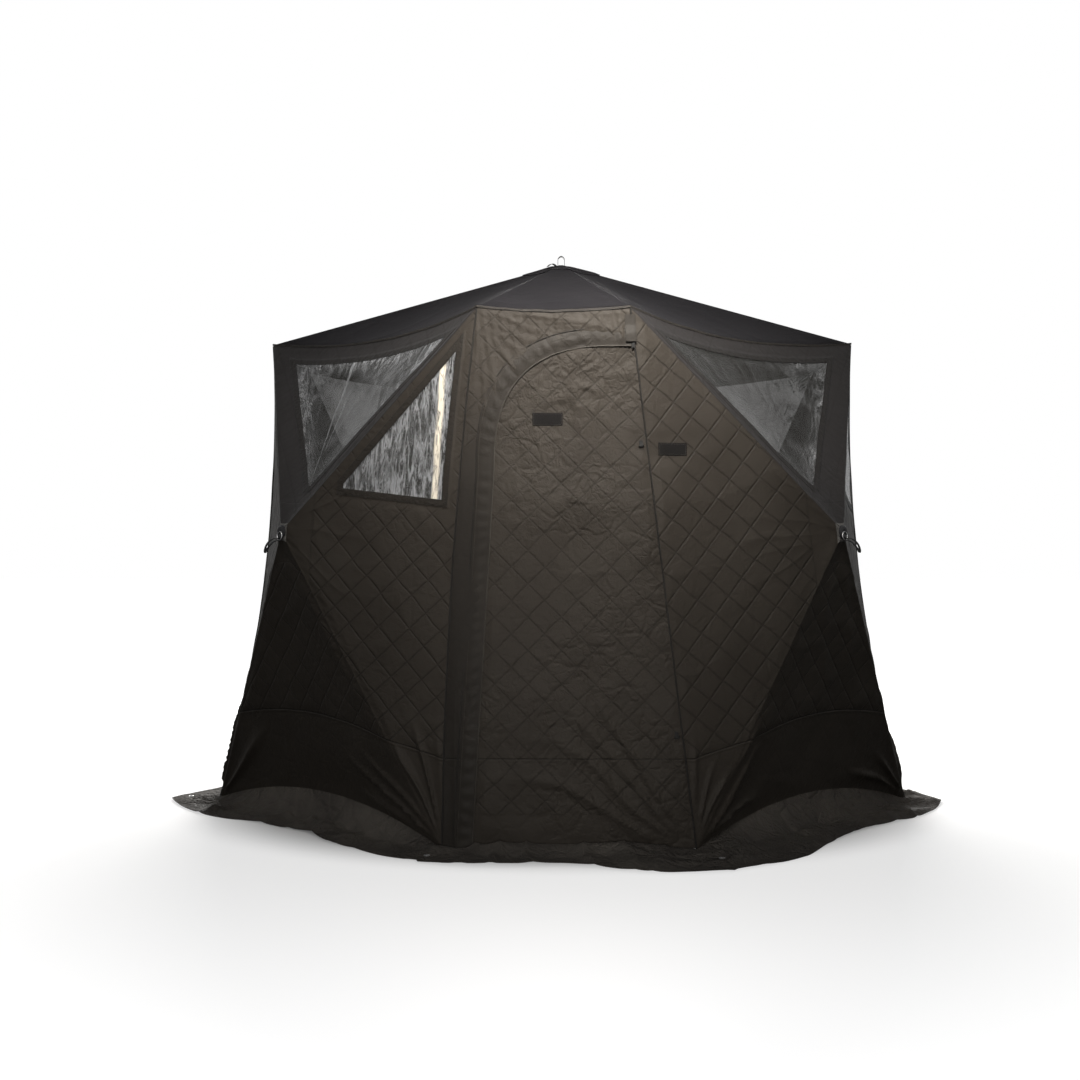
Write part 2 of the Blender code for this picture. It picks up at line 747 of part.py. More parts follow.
def build_toggle(place):
    """Tie-back: a webbing tab on the door with a short round toggle in its end."""
    normal = narrow_wall_normal("front")
    up = door_axis()
    across = up.cross(normal)
    pivot = tab_pivot(place)
    seat = pivot + normal * SEAT_GAP
    shares = ((-0.5, -0.8), (0.5, -0.8), (0.5, 0.2), (-0.5, 0.2))
    tab = [seat + across * (TAB_WIDTH * x) + up * (TAB_LENGTH * y) for x, y in shares]
    bm = bmesh.new()
    add_plate(bm, tab, normal, WEBBING, -WEBBING)
    toggle = bmesh_object(f"toggle_{place}", bm, webbing(f"toggle_black_{place}"), smooth=True)
    half = TOGGLE_LENGTH / 2
    centre = seat - up * (TAB_LENGTH * 0.8) + normal * TOGGLE_RADIUS
    profile = [
        (0, -half), (TOGGLE_RADIUS * 0.7, -half), (TOGGLE_RADIUS, -half * 0.8),
        (TOGGLE_RADIUS, half * 0.8), (TOGGLE_RADIUS * 0.7, half), (0, half),
    ]
    bar = bmesh.new()
    add_turned(bar, profile, centre, across, POLE_SIDES)
    combine(toggle, bar, f"toggle_{place}_bar_tool", "UNION")
    hang_on(toggle, pivot)


def build_hook_patches():
    """Hook-and-loop patches: one on the door and one on the wall beside its hinge."""
    normal = narrow_wall_normal("front")
    up = UP - normal * UP.dot(normal)
    across = up.cross(normal)
    centre = front_point(hinge_x(DOOR_PATCH_HEIGHT) - DOOR_PATCH_SETBACK, DOOR_PATCH_HEIGHT)
    add_patch("hook_patch_door", centre, across, up, normal, PATCH_WIDTH)
    facet = wall_facets("front_right")["left"]
    centre = facet_point(facet, *WALL_PATCH_SHARES)
    normal = facet_normal(facet, *WALL_PATCH_SHARES)
    up = (UP - normal * UP.dot(normal)).normalized()
    add_patch("hook_patch_wall", centre, up.cross(normal), up, normal, PATCH_WIDTH)


def add_patch(name, centre, across, up, normal, width):
    corners = ((-1, -1), (1, -1), (1, 1), (-1, 1))
    loop = [centre + across * (width / 2 * x) + up * (PATCH_HEIGHT / 2 * y) for x, y in corners]
    bm = bmesh.new()
    add_plate(bm, loop, normal, PATCH_THICKNESS, -(PATCH_THICKNESS + SEAT_GAP))
    bmesh_object(name, bm, webbing(f"{name}_loop"))


def jack_point(rise):
    """A point on the outer face of the back wall, rise above the stove jack's middle."""
    height = JACK_HEIGHT + rise
    share = (height - HEM_HEIGHT) / (EAVE_HEIGHT - HEM_HEIGHT)
    return Vector((0, lerp(FOOT_DEPTH, EAVE_DEPTH, share), height))


def build_stove_jack():
    """Heatproof panel for the stove pipe in the back wall, with a rain flap hinged along its top."""
    normal = narrow_wall_normal("back")
    up = (UP - normal * UP.dot(normal)).normalized()
    across = up.cross(normal)
    corners = ((-1, -1), (1, -1), (1, 1), (-1, 1))
    panel = bmesh.new()
    loop = [jack_point(0) + across * (JACK_SIZE / 2 * x) + up * (JACK_SIZE / 2 * y) for x, y in corners]
    add_plate(panel, loop, normal, JACK_THICKNESS, -(JACK_THICKNESS + SEAT_GAP))
    bmesh_object("stove_jack", panel, surface("heatproof_cloth", (0.32, 0.32, 0.31), 0.7))
    flap = bmesh.new()
    half = JACK_FLAP_SIZE / 2
    hinge = jack_flap_pivot()
    loop = [hinge + across * (half * x) + up * (half * (y - 1)) for x, y in corners]
    add_plate(flap, loop, normal, JACK_FLAP_THICKNESS)
    flap_object = bmesh_object("jack_flap", flap, cloth("jack_flap_cloth"))
    hang_on(flap_object, hinge)


def jack_flap_pivot():
    """Top of the rain flap, on its outer face."""
    normal = narrow_wall_normal("back")
    return jack_point(JACK_FLAP_SIZE / 2) + normal * (JACK_THICKNESS + 2 * SEAT_GAP + JACK_FLAP_THICKNESS)


# Hubs and poles

def pole_between(facets, corner_places, hub, outward, hub_depth, pivot_radius, thickness):
    """A pole under the fold between two facets, from its hub pivot to its tip near a corner."""
    (first, first_end), (second, second_end) = corner_places
    corner = edge_point(facets[first].edge, first_end)
    length = (hub - corner).length
    share = POLE_TIP_INSET / length
    normals = [facet_normal(facets[place], end, share) for place, end in corner_places]
    fold = (normals[0] + normals[1]).normalized()
    depth = (POLE_TIP_SEAT + thickness) / fold.dot(normals[0])
    tip = lerp(corner, hub, share) - fold * depth
    flat = (corner - hub) - outward * (corner - hub).dot(outward)
    centre = hub - outward * hub_depth
    return Pole(centre + flat.normalized() * pivot_radius, tip, outward)


POLE_TIP_SEAT = TIP_RADIUS + SEAT_GAP


def wall_poles(wall):
    facets = wall_facets(wall)
    outward = wall_outward(wall)
    corners = {
        "top_right": (("right", 1), ("top", 0)),
        "top_left": (("top", 1), ("left", 0)),
        "bottom_left": (("left", 1), ("bottom", 0)),
        "bottom_right": (("bottom", 1), ("right", 0)),
    }
    hub = wall_hub_point(wall)
    return {
        place: pole_between(facets, ends, hub, outward, WALL_HUB_DEPTH, WALL_PIVOT_RADIUS, WALL_CLOTH)
        for place, ends in corners.items()
    }


def roof_poles():
    facets = {wall: roof_facet(wall) for wall in WALLS}
    poles = {}
    for wall in WALLS:
        seam = wall_seams(wall)[1]
        following = WALLS[(WALLS.index(wall) + 1) % len(WALLS)]
        ends = ((wall, 1), (following, 0))
        poles[seam] = pole_between(facets, ends, roof_apex(), UP, ROOF_HUB_DEPTH, ROOF_PIVOT_RADIUS, ROOF_CLOTH)
    return poles


def pole_swing_axis(pole):
    """Axis about which the pole's tip rises outward, as its hub is pushed in."""
    run = pole.tip - pole.pivot
    flat = run - pole.outward * run.dot(pole.outward)
    return flat.cross(pole.outward).normalized()


def pole_drop(pole):
    """How far the pole's tip lies behind its pivot."""
    return (pole.pivot - pole.tip).dot(pole.outward)


def hub_travel(poles):
    """How far a hub goes in from popped out to popped in: twice its poles' mean drop."""
    return 2 * sum(pole_drop(pole) for pole in poles.values()) / len(poles)


def pole_swing(pole, travel):
    """Angle through which a pole turns on its hub as the hub goes all the way in."""
    length = (pole.tip - pole.pivot).length
    drop = pole_drop(pole)
    return math.asin(drop / length) + math.asin((travel - drop) / length)


def squircle_ring(centre, frame, half_width, half_height, squareness):
    """Ring of a pole's section, from round at squareness 2 to nearly square."""
    power = 2 / squareness
    ring = []
    for k in range(POLE_SIDES):
        turn = 2 * math.pi * (k + 0.5) / POLE_SIDES
        x = math.copysign(abs(math.cos(turn)) ** power, math.cos(turn)) * half_width
        y = math.copysign(abs(math.sin(turn)) ** power, math.sin(turn)) * half_height
        ring.append(centre + frame @ Vector((x, y, 0)))
    return ring


def build_pole(name, pole):
    """Glass-fibre pole with a flat pivot eye, a ferrule and a moulded tip."""
    run = pole.tip - pole.pivot
    length = run.length
    axis = pole_swing_axis(pole)
    frame = axis_frame(run, axis)
    tongue, round_share = 6, 2
    eye = EYE_RADIUS
    stations = [
        (-eye * 0.92, EYE_HALF_WIDTH * 0.9, eye * 0.40, tongue),
        (-eye * 0.60, EYE_HALF_WIDTH, eye * 0.80, tongue),
        (0, EYE_HALF_WIDTH, eye, tongue),
        (NECK_LENGTH * 0.7, EYE_HALF_WIDTH, eye, tongue),
        (NECK_LENGTH, FERRULE_RADIUS, FERRULE_RADIUS, round_share),
        (FERRULE_LENGTH, FERRULE_RADIUS, FERRULE_RADIUS, round_share),
        (FERRULE_LENGTH + POLE_RADIUS / 2, POLE_RADIUS, POLE_RADIUS, round_share),
        (length - TIP_LENGTH, POLE_RADIUS, POLE_RADIUS, round_share),
        (length - TIP_LENGTH + POLE_RADIUS / 2, TIP_RADIUS, TIP_RADIUS, round_share),
        (length - TIP_RADIUS, TIP_RADIUS, TIP_RADIUS, round_share),
        (length, TIP_RADIUS * 0.55, TIP_RADIUS * 0.55, round_share),
    ]
    rings = [
        squircle_ring(pole.pivot + frame @ (UP * distance), frame, half_width, half_height, squareness)
        for distance, half_width, half_height, squareness in stations
    ]
    bm = bmesh.new()
    add_loft(bm, rings)
    obj = bmesh_object(name, bm, surface(f"{name}_glass_fibre", (0.015, 0.015, 0.016), 0.4), smooth=True)
    bore = bmesh.new()
    add_turned(bore, cylinder_profile(PIN_RADIUS + PIN_CLEARANCE, 2 * EYE_HALF_WIDTH), pole.pivot, axis, POLE_SIDES)
    combine(obj, bore, f"{name}_bore_cutter")
    hang_on(obj, pole.pivot)


def cylinder_profile(radius, half_length):
    return [(0, -half_length), (radius, -half_length), (radius, half_length), (0, half_length)]


def build_hub(name, apex, outward, poles, depth, radius, head):
    """Moulded hub with a slot and a pin for each pole, a stem, and a head above the stem."""
    centre = apex - outward * depth
    half = HUB_HALF_THICKNESS
    profile = [
        (0, -half), (radius * 0.60, -half), (radius * 0.68, -half * 0.6), (radius - half * 0.4, -half * 0.6),
        (radius, -half * 0.2), (radius, half * 0.7), (radius - half * 0.3, half), (STEM_RADIUS * 1.4, half),
        (STEM_RADIUS, half * 1.4), *head,
    ]
    bm = bmesh.new()
    add_turned(bm, profile, centre, outward, HUB_SIDES)
    hub = bmesh_object(name, bm, surface(f"{name}_nylon", (0.020, 0.020, 0.021), 0.45), smooth=True)
    slots, pins = bmesh.new(), bmesh.new()
    for pole in poles.values():
        axis = pole_swing_axis(pole)
        out = outward.cross(axis)
        inner = pole.pivot - out * (EYE_RADIUS + SLOT_CLEARANCE)
        width = 2 * (EYE_HALF_WIDTH + SLOT_CLEARANCE)
        frame = Matrix((axis, out, outward)).transposed()
        add_box(slots, inner + out * radius, frame, (width, 2 * radius, 4 * half))
        reach = (pole.pivot - centre).length * math.tan(PIN_SPREAD)
        add_turned(pins, cylinder_profile(PIN_RADIUS, reach), pole.pivot, axis, POLE_SIDES)
    combine(hub, slots, f"{name}_slot_cutter")
    combine(hub, pins, f"{name}_pin_tool", "UNION")
    return hub


def build_wall_hub(wall, poles):
    """A wall's hub, with a cap outside the cloth and a wire staple for the pull loop."""
    apex, outward = wall_hub_point(wall), wall_outward(wall)
    under = WALL_HUB_DEPTH - CAP_DROP
    top = under + CAP_THICKNESS
    head = [
        (STEM_RADIUS, under), (CAP_RADIUS, under), (CAP_RADIUS, lerp(under, top, 0.5)),
        (CAP_RADIUS * 0.85, top), (0, top),
    ]
    hub = build_hub(f"hub_{wall}", apex, outward, poles, WALL_HUB_DEPTH, WALL_HUB_RADIUS, head)
    staple = bmesh.new()
    _, across = pull_directions(wall)
    centre = apex + outward * (CAP_THICKNESS - CAP_DROP + STAPLE_LIFT)
    add_ring(staple, centre, across, STAPLE_RADIUS, STAPLE_WIRE, around=12)
    combine(hub, staple, f"hub_{wall}_staple_tool", "UNION")


def build_roof_hub(poles):
    top = ROOF_HUB_DEPTH - ROOF_CAP_DROP - ROOF_HEAD_DROP - ROOF_CLOTH
    head = [(STEM_RADIUS, top * 0.6), (2 * STEM_RADIUS, top * 0.8), (2 * STEM_RADIUS, top), (0, top)]
    build_hub("hub_roof", roof_apex(), UP, poles, ROOF_HUB_DEPTH, ROOF_HUB_RADIUS, head)


def pull_directions(wall):
    """Down the wall and level along it, square to the way its hub pops."""
    outward = wall_outward(wall)
    down = (outward * outward.z - UP).normalized()
    return down, outward.cross(down)


def pull_pivot(wall):
    """Where the pull ring turns in its staple."""
    return wall_hub_point(wall) + wall_outward(wall) * (CAP_THICKNESS - CAP_DROP + RING_LIFT)


def build_pull_loop(wall):
    """Wire ring in the hub's staple, with a webbing loop to pull the hub out by."""
    outward = wall_outward(wall)
    down, across = pull_directions(wall)
    pivot = pull_pivot(wall)
    bm = bmesh.new()
    add_ring(bm, pivot + down * RING_RADIUS, outward, RING_RADIUS, RING_WIRE)
    name = f"pull_loop_{wall}"
    loop = bmesh_object(name, bm, surface(f"{name}_steel", (0.60, 0.60, 0.61), 0.3, 1.0), smooth=True)
    top = 2 * RING_RADIUS - RING_WIRE * 0.6
    rise = LOOP_HALF_GAP * 0.4
    steps = 4
    turns = [math.pi * k / steps for k in range(steps + 1)]
    end = top + LOOP_LENGTH
    outline = [(top + LOOP_HALF_GAP * (1 - math.sin(a)), LOOP_HALF_GAP * math.cos(a)) for a in turns]
    outline += [(end - LOOP_HALF_GAP * (1 - math.sin(a)), -LOOP_HALF_GAP * math.cos(a)) for a in turns]
    path = [pivot + down * run + outward * (lift + rise) for run, lift in outline]
    strap = bmesh.new()
    add_ribbon(strap, path, across, LOOP_WIDTH, WEBBING, closed=True)
    combine(loop, strap, f"{name}_strap_tool", "UNION")
    hang_on(loop, pivot)


# Ground skirt

def skirt_stations():
    """Stations round the tent's foot: the wall's edge, the way out of it, and the skirt's width there."""
    stations = []
    for wall in WALLS:
        left, right = wall_seams(wall)
        edge = foot_edge(wall)
        for k in range(EDGE_CELLS):
            share = k / EDGE_CELLS
            outward = flat_outward(wall)
            spread = lerp(SKIRT_SPREAD_SHARES[left], SKIRT_SPREAD_SHARES[right], share)
            width = SKIRT_WIDTH * spread + SKIRT_RIPPLE * math.sin(2 * math.pi * SKIRT_RIPPLES * share)
            if not k:
                outward = (outward + flat_outward(WALLS[WALLS.index(wall) - 1])).normalized()
            stations.append((edge_point(edge, share), outward, width))
    return stations


def build_ground_skirt():
    """Cloth skirt sewn along the foot of every wall, lying flat on the ground, with an eyelet at each corner."""
    rings = []
    for foot, outward, width in skirt_stations():
        thickness = SKIRT_THICKNESS
        seam = foot - UP * SEAT_GAP
        bend = foot + outward * (width * SKIRT_CONTACT_SHARE)
        tip = foot + outward * width
        fall = math.atan2(seam.z - thickness, (bend - foot).length)
        tucked = outward.normalized() * thickness
        rings.append([
            seam,
            Vector((bend.x, bend.y, thickness)),
            Vector((tip.x, tip.y, thickness)),
            Vector((tip.x, tip.y, 0)),
            Vector((bend.x, bend.y, 0)) - tucked * math.tan(fall / 2),
            seam - tucked * math.sin(fall) - UP * (thickness * math.cos(fall)),
        ])
    bm = bmesh.new()
    add_loft(bm, rings, closed=True)
    skirt = bmesh_object("ground_skirt", bm, surface("skirt_cloth", (0.022, 0.020, 0.020), 0.65))
    rims, holes = bmesh.new(), bmesh.new()
    half = (SKIRT_THICKNESS + EYELET_HEIGHT) / 2
    for foot, outward, width in skirt_stations()[::EDGE_CELLS]:
        place = foot + outward * (width * EYELET_SETOUT_SHARE)
        middle = Vector((place.x, place.y, half))
        rim = [
            (0, -half * 0.8), (EYELET_RADIUS, -half * 0.8), (EYELET_RADIUS, half * 0.7),
            (EYELET_RADIUS * 0.85, half), (0, half),
        ]
        add_turned(rims, rim, middle, UP, EYELET_SIDES)
        add_turned(holes, cylinder_profile(EYELET_HOLE_RADIUS, 4 * half), middle, UP, EYELET_SIDES)
    combine(skirt, rims, "eyelet_rim_tool", "UNION")
    combine(skirt, holes, "eyelet_hole_cutter")


# Main

def clear_scene():
    for obj in list(bpy.data.objects):
        bpy.data.objects.remove(obj, do_unlink=True)


def main():
    clear_scene()
    for wall in HUB_WALLS:
        build_hub_wall(wall)
        poles = wall_poles(wall)
        build_wall_hub(wall, poles)
        build_pull_loop(wall)
        for place, pole in poles.items():
            build_pole(f"pole_{wall}_{place}", pole)
    build_roof_canopy()
    build_roof_cap()
    build_roof_handle()
    poles = roof_poles()
    build_roof_hub(poles)
    for seam, pole in poles.items():
        build_pole(f"pole_roof_{seam}", pole)
    build_back_wall()
    build_stove_jack()
    build_door_wall()
    build_door()
    build_storm_flap()
    build_zip()
    for place in TOGGLE_HEIGHTS:
        build_toggle(place)
    build_hook_patches()
    build_ground_skirt()


main()
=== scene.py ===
import math

import bmesh
import bpy
import numpy as np
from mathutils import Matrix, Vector


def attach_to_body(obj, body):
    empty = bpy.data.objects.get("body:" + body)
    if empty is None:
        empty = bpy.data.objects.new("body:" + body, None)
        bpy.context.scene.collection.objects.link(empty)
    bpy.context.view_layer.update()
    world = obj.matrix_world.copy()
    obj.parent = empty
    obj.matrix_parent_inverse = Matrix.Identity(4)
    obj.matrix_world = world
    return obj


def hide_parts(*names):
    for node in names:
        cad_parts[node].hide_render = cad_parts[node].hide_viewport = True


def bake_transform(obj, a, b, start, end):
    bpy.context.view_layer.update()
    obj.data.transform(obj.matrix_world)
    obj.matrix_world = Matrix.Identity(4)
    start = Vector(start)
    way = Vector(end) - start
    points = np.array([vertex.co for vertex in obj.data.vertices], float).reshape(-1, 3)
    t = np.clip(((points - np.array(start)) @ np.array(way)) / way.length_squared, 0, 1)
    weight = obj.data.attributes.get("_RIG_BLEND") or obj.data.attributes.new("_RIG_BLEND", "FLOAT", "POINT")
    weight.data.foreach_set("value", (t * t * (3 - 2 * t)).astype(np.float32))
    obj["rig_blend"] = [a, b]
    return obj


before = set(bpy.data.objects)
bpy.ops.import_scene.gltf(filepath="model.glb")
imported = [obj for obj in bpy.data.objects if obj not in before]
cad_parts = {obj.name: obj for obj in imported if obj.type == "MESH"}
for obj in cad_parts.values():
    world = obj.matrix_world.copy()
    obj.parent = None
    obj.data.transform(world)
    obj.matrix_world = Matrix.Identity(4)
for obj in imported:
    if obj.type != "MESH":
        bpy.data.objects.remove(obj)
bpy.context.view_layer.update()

# Sizes of the tent, as the solids have them

EAVE_HEIGHT = 1.80
HEM_HEIGHT = 0.006
ROOF_RISE = 0.314
EAVE_SIDE_REACH = 1.139
EAVE_NARROW_HALF = 0.253
EAVE_DEPTH = 0.886
FOOT_SIDE_REACH = 1.352
FOOT_NARROW_HALF = 0.419
FOOT_DEPTH = 0.900
DOOR_WALL_RACK = 0.026
HUB_REACH = 0.964
HUB_SETOUT = 0.711
HUB_HEIGHT = 1.056
EAVE_DRAW_IN = 0.05
EAVE_DROP = 0.045
NARROW_EAVE_DROP = 0.016
SIDE_SEAM_DRAW_IN = 0.075
NARROW_SEAM_DRAW_OUT = 0.025
FOOT_LIFT = 0.11
WALL_CLOTH = 0.004
ROOF_CLOTH = 0.003
HUB_HOLE = 0.019
ROOF_RING_SHARE = 0.11
ROOF_LAP_SHARE = 0.025
CAP_DROP = 0.008
# How far in from the eave the roof's seam lies
ROOF_SEAM = 0.026
TOP_WINDOW = {"near": 0.063, "far": 0.888, "tip": 0.390, "head": 0.105, "toe": 0.770}
SIDE_WINDOW = {"near": 0.049, "far": 0.350, "tip": 0.163, "head": 0.090, "toe": 0.655}
WINDOW_TIP = 0.016
BINDING = 0.024
STEP = 0.0016
PLAIN_BAND = 0.30
DOOR_PLAIN_BAND = 0.12
QUILT = 0.078
STITCH_STEP = 0.0042
STITCH_HALF = 0.0011
STITCH_SHARE = 0.62
HUB_PATCH = 0.12
PATCH_RIM = 0.020
DOOR_HEIGHT = 1.669
DOOR_FOOT_WIDTH = 0.738
SPRING_HEIGHT = 1.26
SPRING_WIDTH = 0.515
ARCH_REACH = 0.4
SQUARENESS = 2.6
SILL = 0.014
HINGE_GAP = 0.0006
ZIP_GAP = 0.022
FLAP_WIDTH = 0.055
SKIRT_WIDTH = 0.2
SKIRT_RIPPLE = 0.03
SKIRT_RIPPLES = 1.5
SKIRT_FRONT_EXTRA = 0.022
SKIRT_REST = 0.0034
SKIRT_SEAM_LIFT = 0.0030
EYELET_SHARE = 0.62
EYELET_LIFT = 0.0006
FRONT_FOOT = -0.8
SKIRT_SPREAD = {
    "front_left": 0.78, "front_right": 1.38, "side_right": 0.76,
    "back_right": 1.30, "back_left": 1.10, "side_left": 0.92,
}
CAP_THICKNESS = 0.005
HUB_CAP_DROP = 0.0012
RING_LIFT = 0.0024
RING_RADIUS = 0.014
RING_WIRE = 0.0016
LOOP_LENGTH = 0.080
LOOP_WIDTH = 0.012
LOOP_STEPS = 22
HANDLE_HALF_SPAN = 0.013
HANDLE_HEIGHT = 0.040
HANDLE_WIDTH = 0.022
HANDLE_FOOT = 0.020
TOGGLE_HEIGHTS = {"upper": 1.352, "lower": 0.393}
TOGGLE_SETBACK = 0.019
TOGGLE_LENGTH = 0.019
TOGGLE_RADIUS = 0.003
TAB_LENGTH = 0.018
TAB_WIDTH = 0.012
PATCH_WIDTH = 0.100
PATCH_HEIGHT = 0.043
PATCH_SEAM = 0.0045
DOOR_PATCH = (0.318, 1.427)
WALL_PATCH_SHARES = (0.24, 0.13)
JACK_SIZE = 0.300
JACK_HEIGHT = 1.36
JACK_FLAP_SIZE = 0.330
# Share of a hub's travel where its pole tips lie, below which the cloth keeps still
TIP_SHARE = 0.065
FILM_THICKNESS = 0.0008
FILM_DEPTH = 0.001
FLAP_CLOTH = 0.0022
SKIRT_CLOTH = 0.0024
CAP_GAP = 0.0003
HUB_PATCH_CLOTH = 0.0030
HOOK_PATCH_CLOTH = 0.0012
PANEL_CLOTH = 0.0016

# Radii of cords
FLAP_PIPING = 0.0021
FLAP_SEAM = 0.0017
CORNER_PIPING = 0.0030

# Width and thickness of straps
EAVE_BINDING = (0.0075, 0.0022)
FLAP_END_TAPE = (0.036, 0.0014)
FLAP_END_TAB = (0.011, 0.0024)
PULL_STRAP = (LOOP_WIDTH, 0.0016)
TOGGLE_TAB = (TAB_WIDTH, 0.0014)
HANDLE_STRAP = (HANDLE_WIDTH, 0.0018)
HANDLE_TAIL = (0.012, 0.0016)

# Step, length and radius of stitches
FLAP_STITCH = (0.0052, 0.0036, 0.00055)
EAVE_STITCH = (0.0056, 0.0038, 0.0005)
PATCH_STITCH = (0.0042, 0.0030, 0.00045)
PANEL_STITCH = (0.0050, 0.0036, 0.0005)

# The zip's tape, and the step and size of its teeth
ZIP_TAPE = 0.0011
TOOTH_STEP = 0.0026
TOOTH_SIZE = (0.0044, 0.0013, 0.0012)

# How far the cloth stands out for its pads, slack, creases and folds
WALL_PAD = 0.0026
WALL_SLACK = 0.0042
WALL_CREASE = 0.0030
WALL_FOOT_CREASE = 0.0030
WALL_CORNER_FOLD = 0.0165
WALL_HUB_FOLD = 0.0024
WALL_PATCH_RISE = 0.0011
WALL_SEAM_PUCKER = 0.0008
WALL_BINDING_RISE = 0.0016
FILM_SLACK = 0.0030
FILM_CREASE = 0.0022
ROOF_SLACK = 0.0050
ROOF_CREASE = 0.0028
CAP_PLEAT = 0.0030
DOOR_PAD = 0.0022
DOOR_SLACK = 0.0065
DOOR_FINE_SLACK = 0.0036
DOOR_CREASE = 0.0052
DOOR_FINE_CREASE = 0.0030
DOOR_FOOT_CREASE = 0.0085
DOOR_CORNER_FOLD = 0.0170
DOOR_SPOT_CREASE = 0.0060
HEADER_CORNER_FOLD = 0.0048
HEADER_HANG = 0.0060
HEADER_GATHER = 0.0110
HEADER_SLACK = 0.0026
BACK_PAD = 0.0036
BACK_SLACK = 0.0050
BACK_CREASE = 0.0034
BACK_FOOT_CREASE = 0.0070
SKIRT_FOLD = 0.021
SKIRT_WAVE = 0.020
SKIRT_CREASE = 0.0050
SKIRT_ROLL = 0.0130
SKIRT_CURL = 0.007
SKIRT_SWAY = 0.012

# The studio
CAMERA_PLACE = (-0.003, -5.436, 1.028)
CAMERA_TURN = 0.85
CAMERA_LENS = 45.883
CAMERA_SENSOR = 36
WORLD_GLOW = 0.16
FLOOR_HALF_SIZE = 30
# Name, place, target, size, power, tint and spread of each light
LIGHTS = (
    ("key_light", (0.15, -2.45, 3.0), (0.10, -0.75, 1.84), 0.9, 38, (1.0, 0.955, 0.89), 54),
    ("low_light", (0.0, -3.2, 0.55), (0.03, -0.9, 0.50), 0.8, 5.2, (1.0, 0.97, 0.93), 70),
    ("fill_light", (-3.0, -4.8, 1.8), (0, 0, 0.8), 3.2, 33, (1.0, 0.985, 0.97), 180),
    ("back_light", (0.0, 4.6, 2.8), (0, 0.9, 1.9), 2.0, 60, (1.0, 0.98, 0.96), 100),
    ("back_left_light", (-1.3, 5.4, 1.7), (-0.4, 0.8, 0.9), 2.4, 120, (1.0, 0.98, 0.95), 90),
    ("back_right_light", (1.3, 5.4, 1.7), (0.4, 0.8, 0.9), 2.4, 120, (1.0, 0.98, 0.95), 90),
)

UP = np.array((0.0, 0.0, 1.0))
SEAMS = ("front_left", "front_right", "side_right", "back_right", "back_left", "side_left")
WALLS = ("front", "front_right", "back_right", "back", "back_left", "front_left")
HUB_WALLS = ("front_left", "front_right", "back_left", "back_right")


# Numbers

def place(*values):
    return np.array(values, dtype=float)


def unit(vector):
    return vector / np.linalg.norm(vector)


def mix(start, end, share):
    return start + (end - start) * share


def smooth(low, high, value):
    share = np.clip((value - low) / (high - low), 0, 1)
    return share * share * (3 - 2 * share)


def lattice(column, row, seed):
    """Repeatable random shares at whole-number places."""
    mixed = (column * 374761393 + row * 668265263 + seed * 974634777) & 0xFFFFFFFF
    mixed = ((mixed ^ (mixed >> 13)) * 1274126177) & 0xFFFFFFFF
    return ((mixed ^ (mixed >> 16)) & 0xFFFF) / 65535.0


def noise(x, y, seed=0):
    """Smooth random values from -1 to 1, one wave for each unit of x and y."""
    x, y = np.broadcast_arrays(np.asarray(x, float), np.asarray(y, float))
    column, row = np.floor(x).astype(np.int64), np.floor(y).astype(np.int64)
    across, along = x - column, y - row
    across, along = across * across * (3 - 2 * across), along * along * (3 - 2 * along)
    low = mix(lattice(column, row, seed), lattice(column + 1, row, seed), across)
    high = mix(lattice(column, row + 1, seed), lattice(column + 1, row + 1, seed), across)
    return mix(low, high, along) * 2 - 1


def creases(x, y, seed=0):
    """Sharp folds between smooth hollows, from 0 to 1."""
    return (1 - np.abs(noise(x, y, seed))) ** 3


def quilt_pad(x, y):
    """Height share of the pads between diamond quilting, 0 at its lines."""
    turned = QUILT * math.sqrt(2)
    return np.sqrt(np.abs(np.sin(np.pi * (x + y) / turned) * np.sin(np.pi * (x - y) / turned)))


def rays(turn, reach, count, stray, turn_wave, reach_wave, seed):
    """Folds that fan out from a point, 1 on their ridges and 0 between them."""
    return 1 - np.abs(np.sin(turn * count + stray * noise(turn * turn_wave, reach * reach_wave, seed)))


def grid_shares(rows, columns):
    """Shares across and in, at every point of a facet's grid."""
    across = np.linspace(0, 1, columns + 1)[None, :]
    return across.repeat(len(rows), 0), rows[:, None].repeat(columns + 1, 1)


def rectangle(centre, across, up, half_width, half_height, offset):
    """The corners of a sewn rectangle, back to the first."""
    corners = ((-1, -1), (1, -1), (1, 1), (-1, 1), (-1, -1))
    return [centre + across * (half_width * a) + up * (half_height * b) + offset for a, b in corners]


def run_along(path):
    """Length along a path up to each of its points."""
    return np.concatenate([[0], np.cumsum(np.linalg.norm(np.diff(path, axis=0), axis=1))])


def headings(path, closed):
    """From the point before to the point after, at each point of a path."""
    ahead = np.roll(path, -1, 0) - np.roll(path, 1, 0)
    if not closed:
        ahead[0], ahead[-1] = path[1] - path[0], path[-1] - path[-2]
    return ahead


def circle(count):
    """Angles of points evenly round a circle."""
    return np.linspace(0, 2 * math.pi, count, endpoint=False)


# The tent's frame of seams and facets

def side_of(name):
    return -1 if name.endswith("left") else 1


def seam_corners(seam):
    """A seam's ends, at the eave and at the foot."""
    side = side_of(seam)
    if seam.startswith("side"):
        return place(side * EAVE_SIDE_REACH, 0, EAVE_HEIGHT), place(side * FOOT_SIDE_REACH, 0, HEM_HEIGHT)
    end = -1 if seam.startswith("front") else 1
    rack = DOOR_WALL_RACK if end < 0 else 0
    eave = place(side * EAVE_NARROW_HALF - rack, end * EAVE_DEPTH, EAVE_HEIGHT)
    return eave, place(side * FOOT_NARROW_HALF + rack, end * FOOT_DEPTH, HEM_HEIGHT)


def seam_bow(seam):
    """How far a seam bends aside at its middle."""
    across = place(side_of(seam), 0, 0)
    if seam.startswith("side"):
        return across * -SIDE_SEAM_DRAW_IN
    return across * (0 if seam == "front_right" else NARROW_SEAM_DRAW_OUT)


